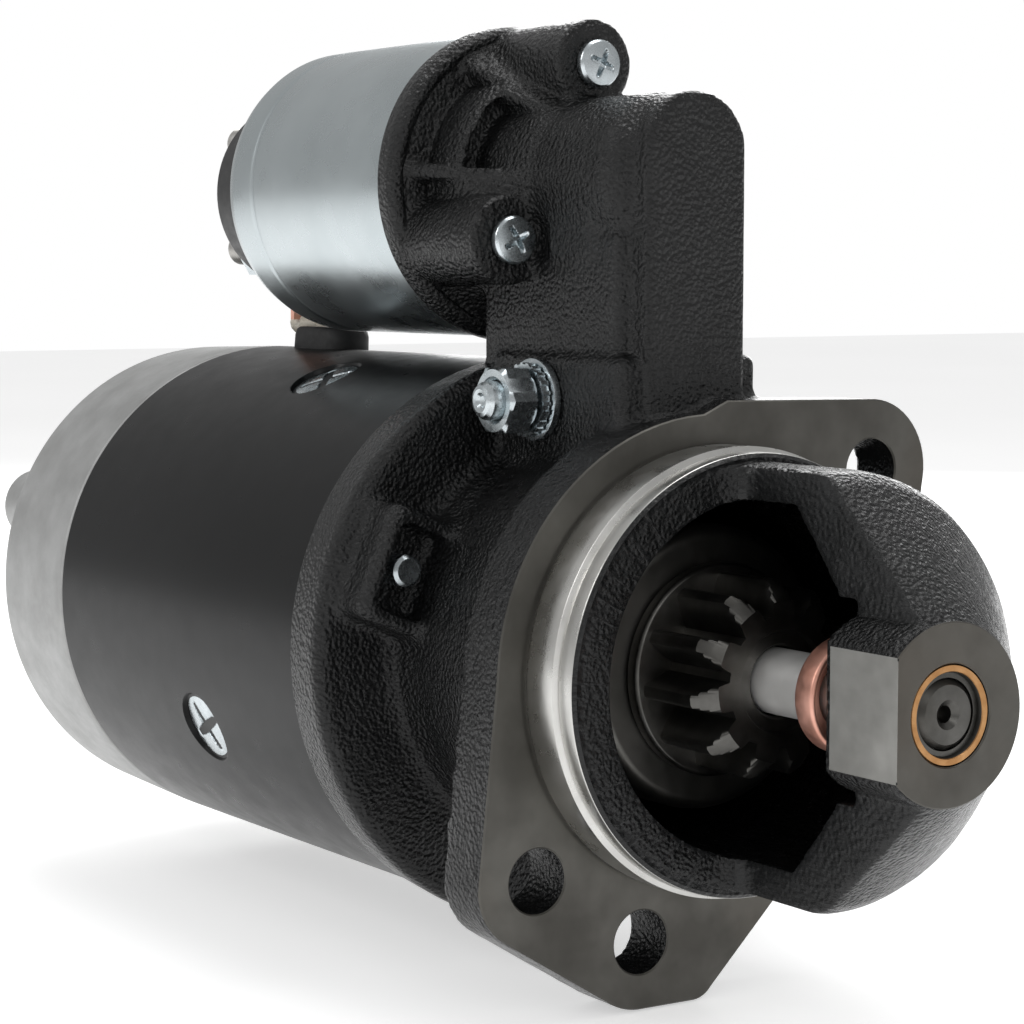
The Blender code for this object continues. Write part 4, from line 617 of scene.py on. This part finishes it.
def nose_machining():
    """The register ring that centres the motor, with its groove, and the milled boss at the nose."""
    ring = softened([(-0.3, 42.3), (-0.3, 43.8), (0.9, 43.8), (1.1, 44.35), (9.5, 44.45), (9.9, 43.0), (10.4, 42.9),
                     (10.6, 43.5), (14.3, 43.45), (15.0, 42.6)], 0.15, 2, closed=False)
    face = [(15.0, r) for r in (42.1, 41.0, 40.0, 39.0, 38.0, 37.0, 36.0, 35.4)]
    profile = ring + face + [(14.8, 35.02), (8.0, 35.02), (8.0, 42.3)]

    def scored(r, a):
        """Streaks along the cut: sine waves round the ring at several frequencies, added up."""
        marks = sum(np.sin(a * f + s + r * 0.35) for f, s in ((61, 0.3), (97, 1.9), (143, 4.1), (211, 2.2)))
        return np.where((r < 42.2) & (r > 35.2), marks * 0.05 - 0.1, 0.0)
    p, f = turned(profile, 720, dip=scored)
    made = piece("register_ring", p, f, [TURNED_BAND, CUT_CAST], "motor", (), "black_casting", 30)
    kinds(made, lambda c, n: ((c[:, 0] > 14.5) | (np.hypot(c[:, 1], c[:, 2]) < 42.0)).astype(int))

    rim = [(-72.3, 28.0), (-72.3, 33.0), (-71.6, 33.8), (-68.0, 33.8), (-66.4, 33.0), (-65.8, 31.4), (-68.0, 28.0)]
    p, f = turned(softened(rim, 0.8, 3), ROUND)
    piece("solenoid_seat_rim", placed(p, 0, 0, SOLENOID_Z), f, CAST, "motor", (), "black_casting", 40)
    band = [(-63.3, 54.0), (-63.3, 59.6), (-62.8, 60.2), (-52.6, 61.15), (-51.0, 60.7), (-50.1, 59.0), (-50.1, 57.4),
            (-53.0, 54.0)]
    p, f = turned(softened(band, 1.0, 3), ROUND)
    piece("housing_edge", p, f, CAST, "motor", (), "black_casting", 40)

    flat = np.arccos(-12.5 / 16.8)
    a = np.unique(np.concatenate([np.linspace(0, 2 * pi, 240, endpoint=False), [flat, 2 * pi - flat]]))
    profile = [(51.5, 9.25), (69.5, 9.25), (69.8, 9.5), (69.8, 16.55), (69.55, 16.8), (51.5, 16.8)]
    p, f = turned(profile, a, lambda t: np.where(np.cos(t) < -0.5, -12.5 / np.minimum(np.cos(t), -0.5), 99.0))
    made = piece("nose_boss", p, f, [CAST, MILLED, MACHINED], "motor", (), "black_casting", 20)
    # The end face takes the darker machined iron. This is partly its own turned finish and partly painted shade, since
    # it is set darker than the milled flat that faces the light.
    kinds(made, lambda c, n: np.where(n[:, 0] > 0.6, 2, ((n[:, 1] < -0.98) & (c[:, 1] < -12.2)).astype(int)))


# ------------------------------------------------------------------ motor
def yoke():
    """Rolled tube. Its radius dips to a flat-bottomed round seat at each pole screw: inside 8.3 mm of
    the screw's axis the surface is the plane of the seat, outside it is the tube."""
    x = np.concatenate([[-178.3, -178.2, -178.0, -177.6], np.linspace(-176, -123, 28), np.linspace(-122.3, -103.7, 94),
                        np.linspace(-103, -66, 20), [-64.3, -63.9, -63.7, -63.6]])
    near = (np.linspace(-9.3, 9.3, 95) / 59.3)
    a = np.concatenate([radians(c) + near for c in (23, 113, 203, 293)]
                       + [np.linspace(radians(c) + near[-1], radians(c + 90) + near[0], 44)[1:-1]
                          for c in (23, 113, 203, 293)])
    a = np.unique(np.round(a, 7))
    gx, ga = np.meshgrid(x, a, indexing="ij")
    r = np.full(gx.shape, 59.3)
    r[0], r[-1] = 58.9, 58.9
    r[1], r[-2] = 59.12, 59.12
    for c in (23, 113, 203, 293):
        across = np.sin(ga - radians(c)) * 59.3
        ahead = np.cos(ga - radians(c))
        off = np.hypot(gx + 113.1, across)
        seat = 58.2 / np.maximum(ahead, 0.2)
        share = np.clip((8.5 - off) / 0.35, 0, 1)
        r = np.where(ahead > 0.9, r + (np.minimum(seat, 59.3) - r) * share, r)
    outer = np.stack([gx, r * np.cos(ga), r * np.sin(ga)], -1).reshape(-1, 3)
    n, m = len(a), len(x)
    inner = np.stack([gx[[0, -1]], 53.3 * np.cos(ga[[0, -1]]), 53.3 * np.sin(ga[[0, -1]])], -1).reshape(-1, 3)
    i, j = np.meshgrid(np.arange(m - 1), np.arange(n), indexing="ij")
    k = (j + 1) % n
    faces = np.stack([i * n + j, i * n + k, (i + 1) * n + k, (i + 1) * n + j], -1).reshape(-1, 4)
    j = np.arange(n)
    k = (j + 1) % n
    base = m * n
    ends = np.concatenate([
        np.stack([base + j, base + k, k, j], 1),
        np.stack([(m - 1) * n + j, (m - 1) * n + k, base + n + k, base + n + j], 1),
        np.stack([base + n + j, base + n + k, base + k, base + j], 1),
    ])
    faces = np.vstack([faces, ends])[:, ::-1]
    made = piece("yoke_tube", np.vstack([outer, inner]), faces, YOKE_PAINT, "motor", ("field_housing",), "black_paint", 30)
    return made


def cross_dip(length, width, depth, turn=0.0):
    """Depth of a cross recess: full where a point lies in either arm, which is narrower towards its
    end, and sloping up over the last part of the arm."""
    def dip(r, a):
        a = a + radians(turn)
        u, v = np.abs(r * np.cos(a)), np.abs(r * np.sin(a))
        one = np.clip((width * (1 - 0.35 * u / length) - v) / 0.25, 0, 1) * np.clip((length - u) / (length * 0.45), 0, 1)
        two = np.clip((width * (1 - 0.35 * v / length) - u) / 0.25, 0, 1) * np.clip((length - v) / (length * 0.45), 0, 1)
        return -depth * np.maximum(one, two)
    return dip


def screw_head(radius, top, under, dome, bore_r, foot, recess):
    """A domed head with its recess, on a plain shank: rings of points close together over the top."""
    rings = np.linspace(0.2, radius - 0.5, 22)
    crown = [(top, 0.0)] + [(top - dome * (r / radius) ** 2, r) for r in rings]
    edge = [(top - dome - 0.25, radius - 0.12), (top - dome - 0.6, radius), (under + 0.15, radius), (under, radius - 0.15)]
    shank = [(under, bore_r), (foot, bore_r), (foot, 0.0)]

    def dip(r, a):
        x = recess(r, a)
        return np.where(r < radius - 0.45, x, 0.0) * over
    profile = crown + edge + shank
    ring = np.array(profile)[1:-1]
    over = (ring[:, 0:1] > under + 0.3).astype(float)

    def dip_any(r, a):
        if r.shape == (1, 1):
            return recess(r, a)
        return dip(r, a)
    return turned(profile, 96, dip=dip_any)


def motor_screws():
    for i, at in enumerate((113, 203, 293, 23)):
        recess = cross_dip(6.2, 1.25, 2.2, 45.0 + 20 * i)
        p, f = screw_head(7.9, 58.55, 55.0, 0.35, 5.0, 44.0, recess)
        piece(f"pole_screw_head_{i + 1}", on_radius(p, at, -113.1), f, ZINC, "motor", (f"pole_screw_{i + 1}",), "zinc_plate", 30)
    for i, at in enumerate(LUG_ANGLES):
        y, z = LUG_PITCH * np.cos(radians(at)), SOLENOID_Z + LUG_PITCH * np.sin(radians(at))
        p, f = screw_head(4.95, -37.3, -39.7, 0.5, 2.7, -71.5, cross_dip(3.1, 0.75, 1.5, 22.0 + 38 * i))
        piece(f"solenoid_screw_head_{i + 1}", placed(p, 0, y, z), f, ZINC, "motor", (f"solenoid_screw_{i + 1}",), "zinc_plate", 30)


def rear_end():
    """Cup of the rear cover with a rounded rim, and its two bolt bosses, bolts and the cap over the bush."""
    outer = [(-178.7, 52.0), (-178.7, 58.6), (-179.1, 59.2), (-180.0, 59.3), (-211.0, 58.35)]
    corner = [(-213.8 - 6.0 * np.sin(t), 52.4 + 5.85 * np.cos(t)) for t in np.linspace(0, pi / 2, 9)]
    hub = [(-221.8, 42.0), (-222.0, 18.0), (-223.0, 16.0), (-229.2, 14.2), (-229.5, 13.8), (-229.5, 9.2),
           (-216.0, 9.2), (-216.0, 13.0), (-217.5, 15.0), (-217.5, 42.0), (-212.0, 52.0)]
    cup = turned(softened(outer + corner + hub, 0.5, 2), ROUND)
    parts = [cup]
    for at in (158.0, 338.0):
        y, z = 48.0 * np.cos(radians(at)), 48.0 * np.sin(radians(at))
        p, f = turned(softened([(-226.0, 3.7), (-226.0, 9.2), (-204.0, 9.6), (-204.0, 3.7)], 0.9, 3), 48)
        parts.append((placed(p, 0, y, z), f))
    points, faces = joined(*parts)
    piece("rear_cover_cup", points, faces, ALUMINIUM, "motor", ("rear_cover",), "cast_aluminium", 36)
    for i, at in enumerate((158.0, 338.0)):
        y, z = 48.0 * np.cos(radians(at)), 48.0 * np.sin(radians(at))
        head = turned(softened([(-234.8, 0.0), (-234.8, 4.4), (-233.6, 5.6), (-227.0, 5.9), (-227.0, 7.0), (-226.3, 7.0),
                                (-226.3, 0.0)], 0.2, 2), 96, hexagonal(10.0))
        shank = turned([(-226.5, 0.0), (-226.5, 3.3), (-42.2, 3.3), (-41.5, 2.6), (-41.5, 0.0)], 32)
        points, faces = joined((placed(head[0], 0, y, z), head[1]), (placed(shank[0], 0, y, z), shank[1]))
        piece(f"long_bolt_{i + 1}", points, faces, ZINC, "motor", (f"through_bolt_{i + 1}",), "zinc_plate", 30)
    cap = turned(softened([(-233.0, 0.0), (-233.0, 7.6), (-231.0, 9.3), (-231.0, 13.8), (-229.8, 13.8), (-229.8, 8.2),
                           (-231.8, 6.6), (-231.8, 0.0)], 0.5, 3), 72)
    piece("bush_cap", cap[0], cap[1], ZINC, "motor", ("end_cap",), "zinc_plate", 40)


def solenoid():
    """Drawn can with a shallow groove and a rolled edge at the back, then the moulded cap and its terminals."""
    can = [(-72.5, 11.2), (-72.5, 32.3), (-73.0, 32.7), (-128.6, 32.7), (-129.3, 32.45), (-130.1, 32.45), (-130.8, 32.7),
           (-139.2, 32.6), (-142.4, 31.6), (-144.4, 30.1), (-145.2, 28.6), (-145.2, 23.7), (-141.3, 23.7), (-141.3, 30.2),
           (-76.5, 30.2), (-76.5, 11.2)]
    p, f = turned(softened(can, 0.5, 2), ROUND)
    piece("solenoid_can", placed(p, 0, 0, SOLENOID_Z), f, ZINC_CAN, "motor", ("solenoid_body",), "zinc_plate", 30)
    order = [(-168.2, 0.0), (-168.2, 21.2), (-166.7, 22.6), (-146.5, 23.1), (-146.2, 23.2), (-140.9, 23.2), (-140.9, 29.8),
             (-136.4, 29.8), (-136.4, 19.4), (-164.2, 19.4), (-164.2, 0.0)]
    p, f = turned(softened(order, 0.8, 3), 96)
    piece("switch_cap", placed(p, 0, 0, SOLENOID_Z), f, MOULDED, "motor", ("terminal_cap",), "moulded_plastic", 36)
    for name, z, seat in (("battery", 13.0, -168.5), ("motor", -13.0, -170.4)):
        stud = [(-161.4, 0.0), (-161.4, 5.2), (-163.9, 5.2), (-163.9, 4.0)]
        threads = [(x, 4.0 if i % 2 == 0 else 3.55) for i, x in enumerate(np.arange(-169.0, -187.2, -0.5))]
        stud = stud + threads + [(-188.2, 3.2), (-188.2, 0.0)]
        p, f = turned(stud, 32)
        piece(f"{name}_terminal_stud", placed(p, 0, -5.0, SOLENOID_Z + z), f, TINNED, "motor", (f"{name}_stud",), "copper", 20)
        piece(f"{name}_terminal_nut", *nut_at(seat - 6.5, seat, 13.0, 4.3, 0, -5.0, SOLENOID_Z + z), ZINC, "motor",
              (f"{name}_nut",), "zinc_plate", 28)


def nut_at(x0, x1, across, bore, px, py, pz, way="x"):
    """Hexagon nut: a blank whose ends are cut by a 30 degree cone, held inside the hexagon."""
    corner = across / 2 / np.cos(pi / 6)
    cut = (corner - across / 2 + 0.1) * 0.58
    lead = 0.7
    profile = [(x0, bore + lead), (x0, across / 2 - 0.15), (x0 + cut, corner), (x1 - cut, corner), (x1, across / 2 - 0.15),
               (x1, bore + lead), (x1 - lead, bore), (x0 + lead, bore)]
    p, f = turned(profile, 120, hexagonal(across))
    return placed(p, px, py, pz, 0, way), f


def pivot():
    """Nut, washers and bolt on the fork's pivot, seen on the -Y side."""
    px, pz = -35.5, 52.2
    p, f = turned(softened([(-18.9, 4.4), (-18.9, 8.4), (-17.3, 8.4), (-17.3, 4.4)], 0.25, 2), 96)
    piece("plain_washer", placed(p, px, 0, pz, 0, "y"), f, ZINC, "motor", ("flat_washer",), "zinc_plate", 30)

    def teeth(a):
        return 7.55 - 0.35 * (np.mod(a * 22 / (2 * pi), 1.0) > 0.45)
    p, f = turned([(-21.0, 4.4), (-21.0, 8.4), (-19.3, 8.4), (-19.3, 4.4)], 264, teeth)
    piece("toothed_washer", placed(p, px, 0, pz, 0, "y"), f, ZINC, "motor", ("lock_washer",), "zinc_plate", 25)
    piece("fork_nut", *nut_at(-28.3, -21.6, 13.0, 4.2, px, 0, pz, "y"), ZINC, "motor", ("pivot_nut",), "zinc_plate", 28)
    shank = [(-30.5, 0.0), (-30.7, 1.0), (-31.3, 1.7), (-31.5, 2.4), (-31.2, 3.2), (-30.3, 3.85), (-29.0, 4.0), (-17.0, 4.0),
             (17.5, 4.0)]
    head = [(17.5, 6.9), (18.2, 7.5), (21.6, 7.5), (22.6, 6.6), (22.6, 0.0)]
    across = hexagonal(13.0)
    p, f = turned(shank + head, 96, across)
    piece("fork_bolt", placed(p, px, 0, pz, 0, "y"), f, ZINC, "motor", ("pivot_bolt",), "zinc_plate", 22)


# ------------------------------------------------------------------ drive
def gear_limit(teeth, module, phase):
    """Radius of a gear's outline at each angle: across a pitch it climbs from the root to the tip
    along a flank that leans like an involute, and the tip's corners are rounded."""
    pitch = teeth * module / 2
    root, tip = pitch - 1.2 * module, pitch + module

    def limit(a):
        t = np.abs(np.mod(a * teeth / (2 * pi) - phase + 0.5, 1.0) - 0.5) * 2
        rise = np.clip((0.74 - t) / (0.74 - 0.20), 0, 1)
        flank = root + (tip - root) * rise ** 0.85
        return np.where(t < 0.20, tip - 0.3 * (t / 0.20) ** 6, np.where(t > 0.74, root, flank))
    return limit


def drive():
    teeth, module = 11, 3.0
    phase = 90.0 * teeth / 360.0
    limit = gear_limit(teeth, module, phase)
    profile = [(21.9, 7.4), (21.9, 9.6), (22.9, 10.2), (22.9, 15.6), (21.6, 17.2), (20.4, 18.5), (19.0, 19.5), (3.9, 19.5)]
    profile += [(3.9, 19.49), (3.5, 19.49), (3.5, 6.85), (21.3, 6.85)]
    gear = turned(profile, teeth * 44, limit)
    hub = turned(softened([(4.2, 6.85), (4.2, 20.6), (3.6, 21.2), (1.4, 21.2), (0.9, 20.7), (0.9, 14.5), (-13.1, 14.5),
                           (-13.1, 6.85)], 0.2, 2), 128)
    points, faces = joined(gear, hub)
    piece("pinion_gear_teeth", points, faces, GEAR_STEEL, "pinion_gear", ("pinion",), "hardened_steel", 24)
    shell = [(0.6, 15.0), (0.6, 26.6), (-1.2, 28.5), (-18.9, 28.5), (-21.9, 23.5), (-21.9, 8.0), (-15.9, 8.0), (-15.9, 15.0)]
    p, f = turned(softened(shell, 1.0, 3), 128)
    piece("clutch_drum", p, f, CLUTCH_STEEL, "clutch", ("clutch_shell",), "hardened_steel", 36)

    rear = -224.0
    shaft = [(69.0, 0.0), (69.0, 5.4), (68.0, 6.4), (-14.3, 6.4), (-14.3, 7.5), (-57.6, 7.5), (-57.6, 9.0), (-194.6, 9.0),
             (-194.6, 6.0), (rear + 0.6, 6.0), (rear, 5.4), (rear, 0.0)]
    centre = [(63.0, 0.0), (66.0, 1.5), (68.0, 1.6), (69.0, 2.7)]
    p, f = turned(centre + shaft[1:], 64)
    made = piece("motor_shaft", p, f, [STEEL, GEAR_STEEL], "armature", ("armature_shaft",), "ground_steel", 30)
    kinds(made, lambda c, n: (c[:, 0] > 60.0).astype(int))
    collar = [(39.0, 6.75), (39.0, 10.3), (39.8, 11.0), (44.2, 11.0), (44.7, 10.5), (44.7, 9.9), (42.6, 9.3), (41.8, 8.6),
              (41.8, 6.75)]
    p, f = turned(softened(collar, 0.3, 2), 96)
    piece("collar_ring", p, f, COPPER, "armature", ("stop_collar",), "copper", 30)
    bush = [(50.8, 6.6), (50.8, 9.1), (69.3, 9.1), (69.5, 8.95), (69.5, 7.9), (69.3, 7.75), (68.3, 7.5), (68.3, 6.6)]
    p, f = turned(bush, 96)
    made = piece("nose_bearing_bush", p, f, [BRONZE, GEAR_STEEL], "motor", ("nose_bush",), "sintered_bronze", 30)
    kinds(made, lambda c, n: (np.hypot(c[:, 1], c[:, 2]) < 7.8).astype(int))


# ------------------------------------------------------------------ lead
def grommet_and_lead():
    """Oval grommet: rings of a stadium outline that shrink as they rise. The lead is a tube along
    its path, round its own line at each point, with a twisted rib pattern on its radius."""
    at = np.degrees(np.arccos(3.5 / 59.3))
    a = np.linspace(0, 2 * pi, 72, endpoint=False)
    centre_x = -157.1
    levels = [(57.6, 1.0), (59.6, 1.0), (62.4, 0.99), (63.7, 0.95), (64.3, 0.86), (64.4, 0.6), (64.4, 0.0)]
    half, r = 11.7 - 6.5, 6.5
    u = np.cos(a) * r + np.where(np.cos(a) > 0, half, -half)
    v = np.sin(a) * r
    rings = [np.stack([np.full(72, h), u * s, v * s], 1) for h, s in levels[:-1]]
    points = np.vstack(rings + [[[levels[-1][0], 0, 0]], [[levels[0][0], 0, 0]]])
    n = 72
    faces = []
    for k in range(len(rings) - 1):
        for j in range(n):
            faces.append((k * n + j, k * n + (j + 1) % n, (k + 1) * n + (j + 1) % n, (k + 1) * n + j))
    top, bottom = len(rings) * n, len(rings) * n + 1
    last = (len(rings) - 1) * n
    faces += [(last + j, last + (j + 1) % n, top) for j in range(n)] + [((j + 1) % n, j, bottom) for j in range(n)]
    faces = [f[::-1] for f in faces]
    piece("oval_grommet", on_radius(points, at, centre_x), faces, RUBBER, "motor", ("grommet",), "rubber", 40)

    route = np.array([(-157.1, 3.6, 58.0), (-157.1, 3.6, 61.2), (-157.9, 3.6, 63.6), (-160.0, 3.6, 65.0), (-163.0, 3.6, 65.3),
                      (-168.0, 3.6, 65.3), (-173.0, 3.6, 65.3)])
    t = np.linspace(0, len(route) - 1, 90)
    k = np.clip(t.astype(int), 0, len(route) - 2)
    w = (t - k)[:, None]
    w = w * w * (3 - 2 * w) * 0.5 + w * 0.5
    line = route[k] * (1 - w) + route[k + 1] * w
    way = np.gradient(line, axis=0)
    way /= np.linalg.norm(way, axis=1)[:, None]
    side = np.tile([0.0, 1.0, 0.0], (len(line), 1))
    up = np.cross(way, side)
    b = np.linspace(0, 2 * pi, 36, endpoint=False)
    length = np.arange(len(line))[:, None] * 0.28
    radius = 2.72 + 0.10 * np.sin(b * 6 + length * 5.0) * np.sin(b * -6 + length * 5.0)
    tube = line[:, None] + radius[..., None] * (side[:, None] * np.cos(b)[None, :, None] + up[:, None] * np.sin(b)[None, :, None])
    m, n = len(line), len(b)
    i, j = np.meshgrid(np.arange(m - 1), np.arange(n), indexing="ij")
    faces = np.stack([i * n + j, i * n + (j + 1) % n, (i + 1) * n + (j + 1) % n, (i + 1) * n + j], -1).reshape(-1, 4)
    faces = [tuple(q) for q in faces.tolist()] + [tuple(range(n))[::-1], tuple(range((m - 1) * n, m * n))]
    outline = arc((-5.0, 83.6), 7.0, -20, 200, 18) + [(-0.6, 69.3), (-0.6, 66.1), (7.8, 66.1), (7.8, 69.3)]
    lug = slab_of(outline, -170.1, -168.5)
    points, faces = joined((tube.reshape(-1, 3), faces), lug)
    made = piece("sleeved_lead", points, faces, [SLEEVE, COPPER], "motor", ("field_lead",), "woven_sleeve", 50)
    kind = np.zeros(len(made.data.polygons), np.int32)
    kind[-len(lug[1]):] = 1
    made.data.polygons.foreach_set("material_index", kind)


def slab_of(outline, x0, x1):
    """A flat plate: the outline at two places along X, its sides, and a face at each end."""
    o = np.array(outline, float)
    n = len(o)
    points = np.vstack([np.column_stack([np.full(n, x0), o]), np.column_stack([np.full(n, x1), o])])
    faces = [(i, (i + 1) % n, n + (i + 1) % n, n + i) for i in range(n)]
    return points, faces + [tuple(range(n))[::-1], tuple(range(n, 2 * n))]


# ------------------------------------------------------------------ the frame's own pieces
INNER_FINISH = {
    "black_casting": CAST, "black_paint": YOKE_PAINT, "cast_aluminium": ALUMINIUM, "zinc_plate": ZINC,
    "ground_steel": STEEL, "hardened_steel": GEAR_STEEL, "lamination_steel": LAMINATED, "copper": COPPER,
    "sintered_bronze": BRONZE, "varnished_winding": WINDING, "carbon": CARBON, "moulded_plastic": MOULDED,
    "rubber": RUBBER, "woven_sleeve": SLEEVE,
}


def dress_frame():
    """Every node of the frame takes the finish of its slot."""
    for row in frame["record"]["subparts"]:
        node = frame["nodes"][row["node"]]
        node.data.materials.clear()
        node.data.materials.append(INNER_FINISH[row["material_slot"]])


# ------------------------------------------------------------------ stage
def stage():
    """Pale floor, one soft key from the upper left, a low fill from the right and a white sky."""
    size = 4.0
    ground = CAD_BOX[0].z - 0.0004
    mesh = bpy.data.meshes.new("floor")
    mesh.from_pydata([(-size, -size, ground), (size, -size, ground), (size, size, ground), (-size, size, ground)], [],
                     [(0, 1, 2, 3)])
    floor = bpy.data.objects.new("floor", mesh)
    bpy.context.scene.collection.objects.link(floor)
    paper = finish("pale_floor", (0.80, 0.80, 0.80), (0.84, 0.84, 0.84), 0.0, (0.8, 0.9), 2.0, (40.0, 0.02, 0.1))
    paper.node_tree.nodes["Principled BSDF"].inputs["Emission Color"].default_value = (1.0, 1.0, 1.0, 1.0)
    paper.node_tree.nodes["Principled BSDF"].inputs["Emission Strength"].default_value = 0.50
    mesh.materials.append(paper)
    world = bpy.data.worlds.new("pale_room")
    bpy.context.scene.world = world
    world.use_nodes = True
    nodes, links = world.node_tree.nodes, world.node_tree.links
    room = nodes["Background"]
    room.inputs["Color"].default_value = (1.0, 1.0, 1.0, 1.0)
    room.inputs["Strength"].default_value = 0.45
    paper = nodes.new("ShaderNodeBackground")
    paper.inputs["Color"].default_value = (1.0, 1.0, 1.0, 1.0)
    paper.inputs["Strength"].default_value = 1.0
    ray, choose = nodes.new("ShaderNodeLightPath"), nodes.new("ShaderNodeMixShader")
    links.new(ray.outputs["Is Camera Ray"], choose.inputs[0])
    links.new(room.outputs[0], choose.inputs[1])
    links.new(paper.outputs[0], choose.inputs[2])
    links.new(choose.outputs[0], nodes["World Output"].inputs[0])
    for name, place, aim, power, width, height in (
        ("window", (-0.30, -1.00, 0.70), (-0.08, 0.0, 0.04), 2.8, 0.30, 0.5),
        ("front", (1.10, -0.45, 0.65), (0.0, 0.0, 0.0), 2.2, 0.40, 0.7),
        ("top", (-0.15, 0.25, 1.15), (-0.08, 0.0, 0.05), 6.0, 1.0, 0.5),
        ("back", (-0.9, 0.8, 0.5), (-0.08, 0.0, 0.0), 6.0, 0.6, 0.8),
    ):
        light = bpy.data.lights.new(name, "AREA")
        light.shape = "RECTANGLE"
        light.size, light.size_y = width, height
        light.energy = power
        lamp = bpy.data.objects.new(name, light)
        lamp.location = place
        lamp.rotation_euler = (Vector(aim) - Vector(place)).to_track_quat("-Z", "Y").to_euler()
        bpy.context.scene.collection.objects.link(lamp)


def camera():
    lens = bpy.data.cameras.new("camera")
    lens.lens = 95.73
    lens.sensor_width = 36.0
    lens.clip_start = 0.01
    made = bpy.data.objects.new("camera", lens)
    made.location = (0.4249, -0.3271, 0.07915)
    target = Vector((-0.07137, 0.0, 0.02555))
    made.rotation_euler = (target - made.location).to_track_quat("-Z", "Y").to_euler()
    bpy.context.scene.collection.objects.link(made)
    bpy.context.scene.camera = made
    bpy.context.scene.view_settings.view_transform = "Standard"


dress_frame()
drive_end_housing()
flange_plate()
nose_machining()
yoke()
motor_screws()
rear_end()
solenoid()
pivot()
drive()
grommet_and_lead()
stage()
camera()
